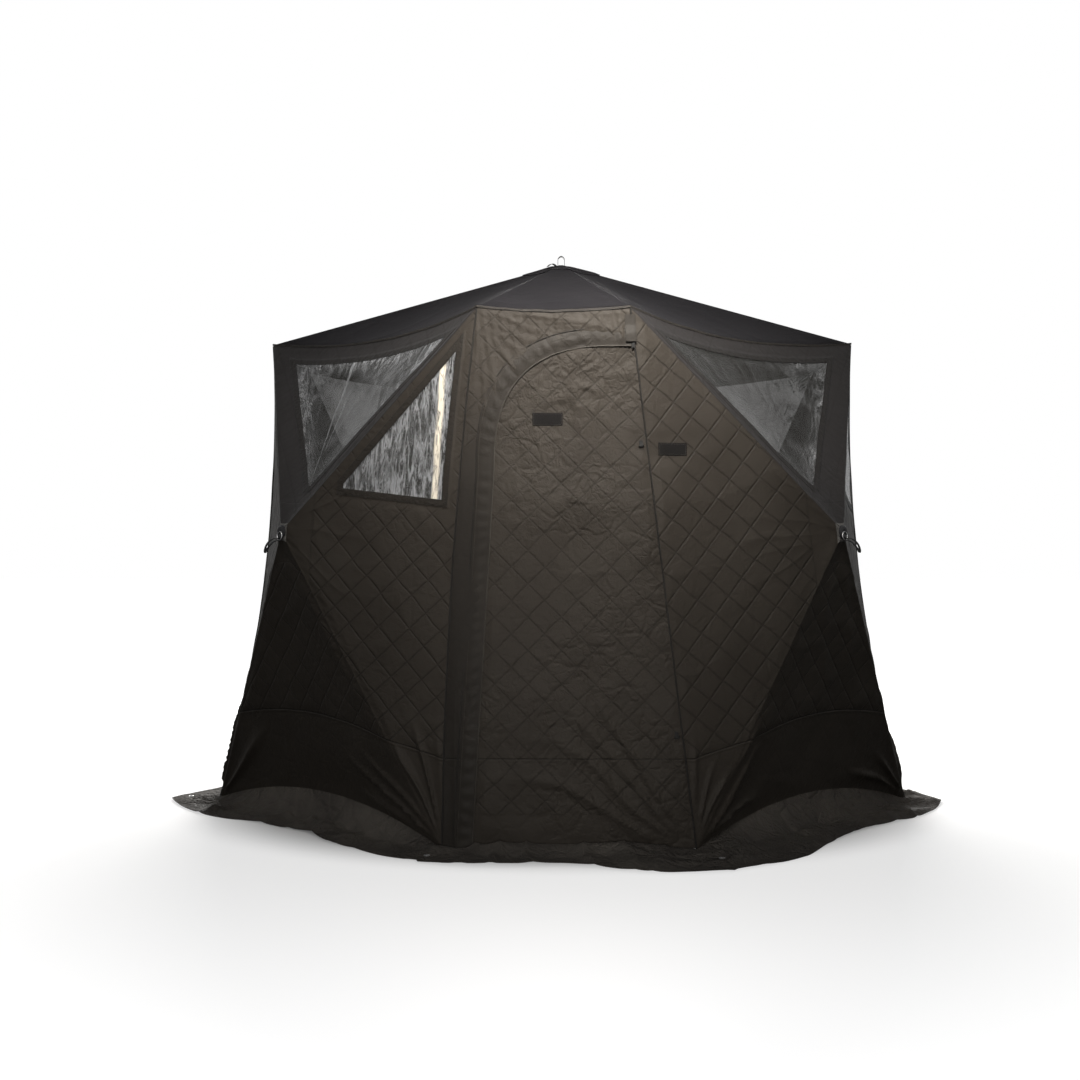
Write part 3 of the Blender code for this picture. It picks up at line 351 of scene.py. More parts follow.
def wall_seams(wall):
    """A wall's left and right seams, as seen from outside."""
    index = WALLS.index(wall)
    return SEAMS[index], SEAMS[(index + 1) % 6]


def flat_outward(wall):
    """The level direction that a wall faces."""
    left, right = wall_seams(wall)
    return unit(np.cross(seam_corners(right)[1] - seam_corners(left)[1], UP) * (1, 1, 0))


def eave_edge(wall):
    """A wall's top edge: its ends from right to left, and its bow."""
    left, right = wall_seams(wall)
    bow = flat_outward(wall) * -EAVE_DRAW_IN - UP * EAVE_DROP if wall in HUB_WALLS else UP * -NARROW_EAVE_DROP
    return seam_corners(right)[0], seam_corners(left)[0], bow


def foot_edge(wall):
    """A wall's bottom edge: its ends from left to right, and its bow."""
    left, right = wall_seams(wall)
    return seam_corners(left)[1], seam_corners(right)[1], UP * (FOOT_LIFT if wall in HUB_WALLS else 0)


def wall_edges(wall):
    """A wall's four edges, which run round it as seen from outside."""
    left, right = wall_seams(wall)
    return {
        "top": eave_edge(wall),
        "left": (*seam_corners(left), seam_bow(left)),
        "bottom": foot_edge(wall),
        "right": (*seam_corners(right)[::-1], seam_bow(right)),
    }


def edge_points(edge, shares):
    """Points at shares along an edge that bows."""
    start, end, bow = edge
    shares = np.asarray(shares, float)[..., None]
    return start + (end - start) * shares + bow * (4 * shares * (1 - shares))


def hub_point(wall):
    return place(side_of(wall) * HUB_REACH, (-1 if wall.startswith("front") else 1) * HUB_SETOUT, HUB_HEIGHT)


def wall_outward(wall):
    """The direction out of a wall, square to both of its diagonals."""
    edges = wall_edges(wall)
    rising = edges["top"][0] - edges["left"][1]
    falling = edges["right"][0] - edges["top"][1]
    return unit(np.cross(falling, rising))


def facet_points(edge, apex, across, inward):
    """Points of a facet, at shares across its edge and in towards its apex."""
    inward = np.asarray(inward, float)[..., None]
    return edge_points(edge, across) * (1 - inward) + apex * inward


def facet_plane(edge, apex):
    """Start, direction along the edge, direction in towards the apex, and outward normal."""
    start, end, _ = edge
    along = unit(end - start)
    inward = apex - start
    inward = unit(inward - along * inward.dot(along))
    return start, along, inward, np.cross(along, inward)


# Cloth as arrays

def read(items, field, width=1, kind=float):
    """One field of every item, as rows of width numbers."""
    values = np.empty(len(items) * width, kind)
    items.foreach_get(field, values)
    return values.reshape(-1, width) if width > 1 else values


class Layer:
    """One layer of cloth: its points, faces, cloth coordinates, and what its finish reads."""

    def __init__(self, points, corners, sizes, weave, facts):
        self.points = points
        self.corners = corners
        self.sizes = sizes
        self.weave = weave
        self.facts = facts

    @classmethod
    def of_grid(cls, points, weave, facts):
        """From rows of points, to the right and up as seen from outside."""
        rows, columns = points.shape[:2]
        index = np.arange(rows * columns).reshape(rows, columns)
        corners = np.stack([index[:-1, :-1], index[:-1, 1:], index[1:, 1:], index[1:, :-1]], -1).reshape(-1)
        flat = {name: np.broadcast_to(values, (rows, columns)).reshape(-1) for name, values in facts.items()}
        sizes = np.full(len(corners) // 4, 4)
        return cls(points.reshape(-1, 3), corners, sizes, weave.reshape(-1, 2)[corners], flat)

    @classmethod
    def plain(cls, points, weave_x, weave_y):
        """A grid whose finish reads no distances."""
        weave = np.stack(np.broadcast_arrays(weave_x, weave_y), -1)
        return cls.of_grid(points, weave, {"ridge": np.ones(points.shape[:2])})

    @classmethod
    def joined(cls, layers):
        """Layers sewn together where their points meet."""
        points = np.concatenate([layer.points for layer in layers])
        shifts = np.cumsum([0] + [len(layer.points) for layer in layers[:-1]])
        corners = np.concatenate([layer.corners + shift for layer, shift in zip(layers, shifts)])
        facts = {name: np.concatenate([layer.facts[name] for layer in layers]) for name in layers[0].facts}
        exact = points.astype(np.float32) + 0.0
        _, first, inverse = np.unique(exact, axis=0, return_index=True, return_inverse=True)
        inverse = inverse.reshape(-1)
        facts = {name: values[first] for name, values in facts.items()}
        sizes = np.concatenate([layer.sizes for layer in layers])
        weave = np.concatenate([layer.weave for layer in layers])
        return cls(points[first], inverse[corners], sizes, weave, facts)

    @classmethod
    def of_mesh(cls, mesh):
        points = read(mesh.vertices, "co", 3)
        corners = read(mesh.loops, "vertex_index", 1, np.int32).astype(np.int64)
        sizes = read(mesh.polygons, "loop_total", 1, np.int32).astype(np.int64)
        weave = read(mesh.uv_layers["weave"].data, "uv", 2)
        facts = {attribute.name: read(attribute.data, "value") for attribute in mesh.attributes
                 if attribute.data_type == "FLOAT" and attribute.domain == "POINT"}
        bpy.data.meshes.remove(mesh)
        return cls(points, corners, sizes, weave, facts)

    def mesh(self, name="layer"):
        mesh = bpy.data.meshes.new(name)
        mesh.vertices.add(len(self.points))
        mesh.vertices.foreach_set("co", self.points.astype(np.float32).ravel())
        mesh.loops.add(len(self.corners))
        mesh.loops.foreach_set("vertex_index", self.corners.astype(np.int32))
        mesh.polygons.add(len(self.sizes))
        mesh.polygons.foreach_set("loop_start", (np.cumsum(self.sizes) - self.sizes).astype(np.int32))
        mesh.update(calc_edges=True)
        mesh.uv_layers.new(name="weave").data.foreach_set("uv", self.weave.astype(np.float32).ravel())
        for fact, values in self.facts.items():
            mesh.attributes.new(fact, "FLOAT", "POINT").data.foreach_set("value", values.astype(np.float32))
        return mesh

    def cut(self, planes, reach=None):
        """The layer with lines of points where planes cross it, away from its ridges if reach is given."""
        mesh = self.mesh()
        bm = bmesh.new()
        bm.from_mesh(mesh)
        bpy.data.meshes.remove(mesh)
        ridge = bm.verts.layers.float.get("ridge")
        for origin, normal in planes:
            faces = list(bm.faces)
            if reach is not None:
                faces = [face for face in faces if min(vert[ridge] for vert in face.verts) > reach]
            edges = list({edge for face in faces for edge in face.edges})
            verts = list({vert for face in faces for vert in face.verts})
            bmesh.ops.bisect_plane(bm, geom=verts + edges + faces, dist=4e-5,
                                   plane_co=origin, plane_no=normal)
        bmesh.ops.dissolve_degenerate(bm, edges=bm.edges, dist=1e-5)
        mesh = bpy.data.meshes.new("layer")
        bm.to_mesh(mesh)
        bm.free()
        return Layer.of_mesh(mesh)

    def normals(self):
        mesh = self.mesh()
        ways = read(mesh.vertex_normals, "vector", 3)
        bpy.data.meshes.remove(mesh)
        return ways

    def face_means(self, values):
        owner = np.repeat(np.arange(len(self.sizes)), self.sizes)
        return np.bincount(owner, values[self.corners], len(self.sizes)) / self.sizes

    def part(self, faces):
        """The chosen faces, with only their own points."""
        kept = np.repeat(faces, self.sizes)
        used, corners = np.unique(self.corners[kept], return_inverse=True)
        facts = {name: values[used] for name, values in self.facts.items()}
        return Layer(self.points[used], corners.reshape(-1), self.sizes[faces], self.weave[kept], facts)

    def keep_normals(self):
        for name, values in zip(("way_x", "way_y", "way_z"), self.normals().T):
            self.facts[name] = values

    def kept_normals(self):
        ways = np.stack([self.facts[name] for name in ("way_x", "way_y", "way_z")], 1)
        return ways / np.maximum(np.linalg.norm(ways, axis=1), 1e-9)[:, None]

    def piece(self, name, thickness, finishes, depth=0.0, floor=None):
        """A closed piece: the outer face, the inner face below it, and the edge between them."""
        count = len(self.points)
        ways = self.kept_normals() if "way_x" in self.facts else self.normals()
        outer = self.points - ways * depth
        inner = self.points - ways * (depth + thickness)
        if floor is not None:
            outer[:, 2] = np.maximum(outer[:, 2], floor + thickness)
            inner[:, 2] = np.maximum(inner[:, 2], floor)
        starts = np.cumsum(self.sizes) - self.sizes
        first, size = np.repeat(starts, self.sizes), np.repeat(self.sizes, self.sizes)
        step = np.arange(len(self.corners)) - first
        following = first + (step + 1) % size
        backward = first + size - 1 - step
        head, tail = self.corners, self.corners[following]
        rim = np.flatnonzero(~np.isin(head * count + tail, tail * count + head))
        a, b = head[rim], tail[rim]
        edge = np.stack([b, a, a + count, b + count], 1).reshape(-1)
        edge_weave = np.stack([self.weave[following[rim]], self.weave[rim], self.weave[rim],
                               self.weave[following[rim]]], 1).reshape(-1, 2)
        points = np.concatenate([outer, inner])
        edge_ways = np.cross(points[a] - points[b], points[a + count] - points[a])
        edge_ways /= np.maximum(np.linalg.norm(edge_ways, axis=1), 1e-12)[:, None]
        corners = np.concatenate([head, head[backward] + count, edge])
        sizes = np.concatenate([self.sizes, self.sizes, np.full(len(rim), 4)])
        weave = np.concatenate([self.weave, self.weave[backward], edge_weave])
        facts = {name: np.tile(values, 2) for name, values in self.facts.items()
                 if not name.startswith("way_")}
        whole = Layer(points, corners, sizes, weave, facts)
        mesh = whole.mesh(name)
        for finish in finishes:
            mesh.materials.append(finish)
        if len(finishes) > 1:
            slots = np.concatenate([np.zeros(len(self.sizes)), np.ones(len(self.sizes)), np.zeros(len(rim))])
            mesh.polygons.foreach_set("material_index", slots.astype(np.int32))
        mesh.polygons.foreach_set("use_smooth", np.ones(len(sizes), bool))
        loop_ways = np.concatenate([ways[head], -ways[head[backward]], np.repeat(edge_ways, 4, 0)])
        if not mesh.validate():
            mesh.normals_split_custom_set(loop_ways.tolist())
        return linked(name, mesh)


def linked(name, mesh):
    obj = bpy.data.objects.new(name, mesh)
    bpy.context.scene.collection.objects.link(obj)
    return obj


def baked(obj):
    """Applies an object's modifiers and gives its new mesh."""
    shown = bpy.context.evaluated_depsgraph_get()
    mesh = bpy.data.meshes.new_from_object(obj.evaluated_get(shown))
    obj.modifiers.clear()
    obj.data = mesh
    return mesh


def attach(piece, body, slot, *solids):
    """A piece rides a body and replaces solids. The slot is not used."""
    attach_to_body(piece, body)
    if solids:
        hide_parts(*solids)


def declare_cloth(piece, strip=False):
    """Works out what a piece of cloth was cut to, read from its flat weave, which has none of its folds or
    slack; the width and length are not kept or passed on.

    A strip is sewn round a hub or an opening: it is as long as the mean of its two edges, and as wide as
    its area then needs. Any other piece is a panel, which reaches as far as its weave does.
    """
    mesh = piece.data
    x, y = read(mesh.uv_layers["weave"].data, "uv", 2).T
    starts, sizes = (read(mesh.polygons, field, 1, np.int32) for field in ("loop_start", "loop_total"))
    step = np.arange(len(x)) - np.repeat(starts, sizes)
    following = np.repeat(starts, sizes) + (step + 1) % np.repeat(sizes, sizes)
    shares = np.abs(np.add.reduceat(x * y[following] - y * x[following], starts)) / 2
    area = shares.sum() / 2
    if strip:
        rim = starts[(shares < 1e-12) & (sizes == 4)]
        length = np.hypot(x[rim] - x[rim + 1], y[rim] - y[rim + 1]).sum() / 2
        width = area / length
    else:
        width, length = np.ptp(x), np.ptp(y)


def skin(bm, low, high):
    """Quads between two rings of points."""
    following = range(1, len(low) + 1)
    return [bm.faces.new((low[k], low[after % len(low)], high[after % len(low)], high[k]))
            for k, after in enumerate(following)]


def close_ends(bm, rings):
    bm.faces.new(list(reversed(rings[0])))
    bm.faces.new(rings[-1])


def from_bmesh(name, bm, finish, bend=40):
    bmesh.ops.recalc_face_normals(bm, faces=bm.faces)
    mesh = bpy.data.meshes.new(name)
    bm.to_mesh(mesh)
    bm.free()
    mesh.materials.append(finish)
    mesh.shade_smooth()
    mesh.set_sharp_from_angle(angle=math.radians(bend))
    return linked(name, mesh)


# Finishes

class Value:
    """A number or colour inside a finish, which Python's operators work on."""

    def __init__(self, finish, socket):
        self.finish = finish
        self.socket = socket

    def math(self, operation, *others):
        node = self.finish.add("ShaderNodeMath", {"operation": operation}, {})
        for index, value in enumerate((self, *others)):
            self.finish.feed(node.inputs[index], value)
        return Value(self.finish, node.outputs[0])

    def back(self, operation, other):
        node = self.finish.add("ShaderNodeMath", {"operation": operation}, {0: other, 1: self})
        return Value(self.finish, node.outputs[0])

    def fraction(self):
        return self.math("FRACT")

    def least(self, other):
        return self.math("MINIMUM", other)

    def most(self, other):
        return self.math("MAXIMUM", other)

    def ramp(self, low, high, start=0.0, end=1.0):
        """Goes smoothly from start at low to end at high."""
        settings = {"interpolation_type": "SMOOTHSTEP"}
        values = {"Value": self, "From Min": low, "From Max": high, "To Min": start, "To Max": end}
        return Value(self.finish, self.finish.add("ShaderNodeMapRange", settings, values).outputs[0])


def forward(operation):
    return lambda self, *others: self.math(operation, *others)


def reflected(operation):
    return lambda self, other: self.back(operation, other)


OPERATORS = {"add": "ADD", "sub": "SUBTRACT", "mul": "MULTIPLY", "truediv": "DIVIDE", "pow": "POWER",
             "abs": "ABSOLUTE", "lt": "LESS_THAN", "gt": "GREATER_THAN"}
for operator, operation in OPERATORS.items():
    setattr(Value, f"__{operator}__", forward(operation))
    if operator in ("add", "sub", "mul"):
        setattr(Value, f"__r{operator}__", reflected(operation))


class Finish:
    """A node material that is written as expressions."""

    def __init__(self, name, roughness=0.5, metallic=0.0, specular=0.5):
        self.material = bpy.data.materials.new(name)
        self.material.use_nodes = True
        self.nodes = self.material.node_tree.nodes
        self.shader = self.nodes["Principled BSDF"]
        self.shader.inputs["Roughness"].default_value = roughness
        self.shader.inputs["Metallic"].default_value = metallic
        self.shader.inputs["Specular IOR Level"].default_value = specular

    def feed(self, socket, value):
        if isinstance(value, Value):
            value = value.socket
        if isinstance(value, bpy.types.NodeSocket):
            self.material.node_tree.links.new(value, socket)
        else:
            socket.default_value = value

    def add(self, kind, settings, values):
        node = self.nodes.new(kind)
        for name, setting in settings.items():
            setattr(node, name, setting)
        for name, value in values.items():
            self.feed(node.inputs[name], value)
        return node

    def fact(self, name):
        return Value(self, self.add("ShaderNodeAttribute", {"attribute_name": name}, {}).outputs["Fac"])

    def weave(self):
        return self.add("ShaderNodeUVMap", {"uv_map": "weave"}, {}).outputs[0]

    def places(self):
        return self.add("ShaderNodeTexCoord", {}, {}).outputs["Object"]

    def parts(self, vector):
        node = self.add("ShaderNodeSeparateXYZ", {}, {0: vector})
        return [Value(self, socket) for socket in node.outputs]

    def cloud(self, vector, scale, detail=2.0, roughness=0.5, distortion=0.0):
        values = {"Vector": vector, "Scale": scale, "Detail": detail, "Roughness": roughness,
                  "Distortion": distortion}
        return Value(self, self.add("ShaderNodeTexNoise", {}, values).outputs["Fac"])

    def cells(self, vector, scale, feature="F1"):
        values = {"Vector": vector, "Scale": scale}
        return Value(self, self.add("ShaderNodeTexVoronoi", {"feature": feature}, values).outputs["Distance"])

    def stretched(self, vector, scale):
        return self.add("ShaderNodeMapping", {}, {"Vector": vector, "Scale": scale}).outputs[0]

    def vector(self, *parts):
        return self.add("ShaderNodeCombineXYZ", {}, dict(enumerate(parts))).outputs[0]

    def distance(self, vector):
        node = self.add("ShaderNodeVectorMath", {"operation": "LENGTH"}, {0: vector})
        return Value(self, node.outputs["Value"])

    def warped(self, vector, scale, amount):
        """The places shifted a little, so that straight cells bend."""
        drift = self.add("ShaderNodeTexNoise", {}, {"Vector": vector, "Scale": scale, "Detail": 1.0})
        moved = self.add("ShaderNodeVectorMath", {"operation": "MULTIPLY_ADD"},
                         {0: drift.outputs["Color"], 1: (amount,) * 3, 2: vector})
        return moved.outputs[0]

    def blend(self, share, first, second):
        first, second = ((*value, 1.0) if isinstance(value, tuple) else value for value in (first, second))
        node = self.add("ShaderNodeMix", {"data_type": "RGBA"}, {0: share, 6: first, 7: second})
        return Value(self, node.outputs[2])

    def bump(self, height, strength=1.0):
        """Height in metres, as a normal."""
        node = self.add("ShaderNodeBump", {}, {"Height": height, "Distance": 1.0, "Strength": strength})
        self.feed(self.shader.inputs["Normal"], node.outputs[0])

    def set(self, name, value):
        self.feed(self.shader.inputs[name], value)


def crumpled(finish, vector, depth=0.0016):
    """Height of the small creases of cloth that was kept rolled up."""
    broad = finish.cloud(vector, 7.0, 3.0, 0.55, 1.1)
    fine = finish.cloud(vector, 26.0, 3.0, 0.6, 1.6)
    sharp = (1 - abs(fine * 2 - 1)) ** 4.0
    folds = finish.cells(finish.warped(vector, 9.0, 0.10), 12.0, "DISTANCE_TO_EDGE").ramp(0.0, 0.16)
    small = finish.cells(finish.warped(vector, 22.0, 0.05), 33.0, "DISTANCE_TO_EDGE").ramp(0.0, 0.22)
    busy = finish.cloud(vector, 2.6, 2.0).ramp(0.38, 0.62, 0.35, 1.25)
    return (broad * 1.9 + (fine * 0.6 + sharp * 0.50 + folds * 1.05 + small * 0.45) * busy) * depth


def threads(finish, vector, depth=0.00006):
    """Height of a plain weave."""
    x, y, _ = finish.parts(vector)
    warp = (x * 2400.0).math("SINE")
    weft = (y * 2400.0).math("SINE")
    return warp * weft * depth


def quilt_lines(x, y, size):
    """Shares of a quilted cell across and along, and the distance to its nearest stitched line."""
    turned = size * math.sqrt(2)
    across = (x + y) / turned
    along = (x - y) / turned
    near_across = abs((across + 0.5).fraction() - 0.5) * size
    near_along = abs((along + 0.5).fraction() - 0.5) * size
    return across, along, near_across, near_along


def near_line(distance, reach):
    """1 on a line, fading to 0 at reach from it."""
    return distance.ramp(0.0, reach, 1.0, 0.0)


def quilted_cloth(name, base, dusty, cool, lift=1.0, crumple=1.0):
    """Polyester, stitched in diamonds, with crumpled creases between the stitches."""
    finish = Finish(name, 0.58, 0.0, 0.06)
    weave, spots = finish.weave(), finish.places()
    x, y, _ = finish.parts(weave)
    waver = finish.cloud(weave, 9.0, 1.0) * 0.010 - 0.005
    across, along, near_across, near_along = quilt_lines(x + waver, y - waver, QUILT)
    near = near_across.least(near_along)
    groove = near_line(near, 0.0055)
    stitch_across, stitch_along = (
        (distance < STITCH_HALF) * (((run * QUILT) / STITCH_STEP).fraction() < STITCH_SHARE)
        for distance, run in ((near_across, along), (near_along, across)))
    stitch = stitch_across.most(stitch_along)
    pucker = finish.cloud(weave, 60.0, 2.0, 0.6, 1.0) * near_line(near, 0.03)
    crease = crumpled(finish, spots, 0.0016 * crumple)
    fine = finish.cloud(spots, 70.0, 2.0)
    rise, edge, low, top, patch = (finish.fact(name) for name in ("rise", "win", "low", "top", "patch"))
    # Quilted above the plain band, away from the windows' bindings, the top facet and the hub's patch
    quilted = low.ramp(PLAIN_BAND, PLAIN_BAND + 0.006) * edge.ramp(BINDING + 0.004, BINDING + 0.03)
    quilted = quilted * (1 - top) * patch.ramp(PATCH_RIM - 0.002, PATCH_RIM, 1.0, 0.0)
    patch_edge = near_line(abs(patch - PATCH_RIM), 0.0016)
    joint = near_line(abs(rise - PLAIN_BAND), 0.004)
    welt = near_line(abs(rise - PLAIN_BAND + 0.006), 0.007)
    bound = (edge < BINDING) * (edge > 0.0)
    rows = (abs(edge - BINDING * 0.16) < 0.0009).most(abs(edge - BINDING * 0.84) < 0.0009)
    ruche = finish.cloud(spots, 95.0, 1.0, 0.5, 0.6) * bound
    height = crease * 1.1 + welt * (0.0013 * lift ** 2) - joint * (0.0015 * lift)
    height = height + ruche * 0.0030 - rows * 0.0007 - patch_edge * 0.001
    joint = joint.most(patch_edge)
    height = height + quilted * (pucker * 0.0024 - groove * 0.0017 * lift - stitch * 0.0003)
    finish.bump(height + threads(finish, weave), 0.9)
    wear = finish.cloud(spots, 3.2, 3.0, 0.6)
    body = finish.blend(wear.ramp(0.35, 0.7) * 0.55 + fine * 0.25, base, dusty)
    body = finish.blend(top * 0.85, body, cool)
    tones = (
        # Painted shade: cloth whose dark attribute is set, the lower door wall, is darkened
        (finish.fact("dark") * (0.8 + fine * 0.2), (0.0096, 0.0084, 0.0072)),
        # Painted shade: the quilting grooves are darkened
        (groove * quilted * 0.30 * lift, tuple(value * 0.42 for value in base)),
        (stitch * quilted * 0.5, (0.009, 0.0085, 0.008)),
        (bound * (0.25 + ruche * 0.5), (0.0085, 0.0078, 0.0070)),
        (joint * 0.6, (0.005, 0.0045, 0.004)),
        (rows * bound * 0.5, (0.007, 0.007, 0.007)),
    )
    for share, tone in tones:
        body = finish.blend(share, body, tone)
    finish.set("Base Color", body)
    finish.set("Roughness", 0.50 + fine * 0.14 + groove * 0.08)
    return finish.material


def plain_cloth(name, base, dusty, depth, specular=0.06, roughness=0.52, seam=False):
    """Plain polyester with a fine weave and soft creases."""
    finish = Finish(name, roughness, 0.0, specular)
    spots, weave = finish.places(), finish.weave()
    height = crumpled(finish, spots, 0.0016 * depth) + threads(finish, weave)
    fine = finish.cloud(spots, 80.0, 2.0)
    wear = finish.cloud(spots, 4.0, 3.0, 0.6)
    body = finish.blend(wear.ramp(0.35, 0.7) * 0.6 + fine * 0.25, base, dusty)
    if seam:
        rise = finish.fact("rise")
        joint = near_line(abs(rise - PLAIN_BAND), 0.004)
        welt = near_line(abs(rise - PLAIN_BAND + 0.006), 0.007)
        height = height + welt * 0.0016 - joint * 0.0018
        body = finish.blend(joint * 0.7, body, (0.008, 0.007, 0.006))
    finish.bump(height, 0.9)
    finish.set("Base Color", body)
    finish.set("Roughness", roughness - 0.06 + fine * 0.14)
    return finish.material


def clear_film(name):
    """Thin clear film: clear in the middle, with painted reflections in streaks drawn along it and in glints
    on its crinkles, a painted band of light, and a dark tint that stands in for the shade seen through it.
    """
    finish = Finish(name, 0.12, 0.0, 0.14)
    spots = finish.places()
    x, _, _ = finish.parts(spots)
    fan, far, edge, top = (finish.fact(name) for name in ("fan", "far", "win", "top"))
    clear_side = x.ramp(0.66, 0.98, 0.10, 1.0).most((0.0 - x).ramp(0.0, 0.1))
    rim = edge.ramp(-0.075, -0.012)
    patches = finish.cloud(spots, 4.6, 2.0).ramp(0.46, 0.60)
    slack = (patches * 0.45 + rim * 0.45 + (1 - top) * 0.65).least(1.0) * clear_side
    drawn = finish.vector(fan * (7.0 + (1 - top) * 4.0) + x * 2.0, far * 3.4, x * 1.5)
    broad = finish.cloud(drawn, 1.6, 3.0, 0.62, 0.9)
    fine = finish.cloud(finish.vector(fan * 22.0, far * 11.0, x * 2.0), 1.4, 3.0, 0.65, 1.6)
    # Painted highlights: thin streaks and hairlines of reflected light
    streak_glint = (1 - abs(broad * 2 - 1)) ** 11.0
    hair_glint = (1 - abs(fine * 2 - 1)) ** 11.0
    scratch = finish.cloud(finish.vector(fan * 70.0, far * 3.0, 0.0), 1.0, 2.0).ramp(0.55, 0.75)
    left = (0.0 - x).ramp(0.0, 0.05)
    # Two crease lines on the left top window: raised a little, and painted as highlights
    lines = abs(fan - 0.335 - far * 0.03).ramp(0.006, 0.014, 1.0, 0.0).most(
        abs(fan - 0.43).ramp(0.004, 0.011, 1.0, 0.0) * far.ramp(0.10, 0.17) * far.ramp(0.34, 0.40, 1.0, 0.0))
    lines = lines * top * left
    # A painted band of light on the side windows
    bands = abs(fan - 0.275 - broad * 0.05).ramp(0.018, 0.042, 1.0, 0.0).most(
        abs(fan - 0.135).ramp(0.008, 0.022, 1.0, 0.0) * 0.8)
    painted_light_band = bands * (1 - top) * (fine.ramp(0.34, 0.52) * 0.75 + 0.25)
    finish.bump(broad * 0.007 * (slack * 0.9 + 0.1) + fine * 0.0016 * slack + lines * 0.001, 1.0)
    # Patches of painted glints
    glint_patches = finish.cloud(finish.vector(fan * 10.0, far * 6.0, x), 1.3, 3.0, 0.6, 0.8).ramp(0.58, 0.68)
    # All the painted highlights together, with faint scratches
    painted_glint = (streak_glint * 0.85 + hair_glint * 0.50 + glint_patches * 0.35) * slack + scratch * 0.05 + lines * 0.65
    painted_glint = painted_glint.most(painted_light_band).least(1.0)
    # Painted highlight colour over a dark tint, which paints in the shade seen through the film; the alpha is
    # higher where highlights are painted and on the side windows
    painted_shine = finish.blend(painted_glint, (0.0100, 0.0096, 0.0080), (0.160, 0.165, 0.174))
    finish.set("Base Color", finish.blend(painted_light_band, painted_shine, (0.42, 0.385, 0.32)))
    finish.set("Alpha", (0.46 + painted_glint * 0.45 + (1 - top) * 0.26).least(1.0))
    finish.set("Roughness", 0.20 + fine * 0.16)
    return finish.material


def woven_tape(name, base, lighter, pitch=0.0016):
    """Flat woven webbing: ribs across it and a firm edge."""
    finish = Finish(name, 0.72, 0.0, 0.08)
    x, y, _ = finish.parts(finish.weave())
    ribs = (y * (2 * math.pi / pitch)).math("SINE")
    cords = (x * (2 * math.pi / (pitch * 1.4))).math("SINE")
    fuzz = finish.cloud(finish.places(), 900.0, 2.0)
    finish.bump((ribs * 0.5 + ribs * cords * 0.5) * 0.00012 + fuzz * 0.0001, 1.0)
    finish.set("Base Color", finish.blend(fuzz * 0.5 + ribs * 0.2 + 0.2, base, lighter))
    finish.set("Roughness", 0.62 + fuzz * 0.2)
    return finish.material


def loop_pile(name):
    """Hook-and-loop pile: short tangled loops."""
    finish = Finish(name, 0.9, 0.0, 0.02)
    spots = finish.places()
    pile = finish.cloud(spots, 520.0, 4.0, 0.75, 2.5)
    tuft = finish.cells(spots, 380.0)
    finish.bump((pile * 0.8 + tuft * 0.5) * 0.0011, 1.0)
    finish.set("Base Color", finish.blend(pile, (0.003, 0.003, 0.003), (0.0105, 0.010, 0.0098)))
    return finish.material


def steel(name):
    finish = Finish(name, 0.28, 1.0, 0.5)
    spots = finish.places()
    haze = finish.cloud(spots, 180.0, 3.0, 0.7)
    rub = finish.cloud(finish.stretched(spots, (1.0, 1.0, 6.0)), 320.0, 2.0)
    finish.bump(rub * 0.00003 + haze * 0.00002, 0.6)
    finish.set("Base Color", finish.blend(haze, (0.24, 0.24, 0.25), (0.42, 0.42, 0.41)))
    finish.set("Roughness", 0.28 + haze * 0.24)
    return finish.material


def moulded_nylon(name, base, specular=0.1):
    finish = Finish(name, 0.42, 0.0, specular)
    spots = finish.places()
    grain = finish.cloud(spots, 900.0, 2.0)
    flow = finish.cloud(spots, 40.0, 3.0, 0.6)
    finish.bump(grain * 0.00007 + flow * 0.00012, 0.8)
    finish.set("Base Color", finish.blend(flow * 0.7, base, tuple(value * 1.7 for value in base)))
    finish.set("Roughness", 0.34 + grain * 0.20)
    return finish.material


def glass_rod(name):
    finish = Finish(name, 0.33, 0.0, 0.5)
    spots = finish.places()
    strands = finish.cloud(spots, 240.0, 4.0, 0.7, 0.4)
    finish.bump(strands * 0.00006, 0.8)
    finish.set("Base Color", finish.blend(strands, (0.016, 0.016, 0.017), (0.050, 0.050, 0.052)))
    finish.set("Roughness", 0.26 + strands * 0.18)
    return finish.material


def heatproof(name):
    """Silicone-coated glass cloth, smooth and slightly rubbery."""
    finish = Finish(name, 0.5, 0.0, 0.35)
    x, y, _ = finish.parts(finish.weave())
    spots = finish.places()
    twill = ((x + y) * 1600.0).math("SINE") * ((x - y) * 1600.0).math("SINE")
    soft = finish.cloud(spots, 11.0, 3.0, 0.6, 1.0)
    reach = (x * x + y * y) ** 0.5
    ring = abs((reach / 0.025).fraction() - 0.5) * 0.025
    line = (ring < 0.0009) * (reach < 0.115) * (reach > 0.03)
    finish.bump(twill * 0.00012 + soft * 0.006 - line * 0.0006, 0.9)
    finish.set("Base Color", finish.blend(line * 0.8, finish.blend(soft, (0.10, 0.10, 0.10),
                                                                 (0.16, 0.158, 0.155)), (0.4, 0.4, 0.39)))
    finish.set("Roughness", 0.42 + soft * 0.2)
    return finish.material


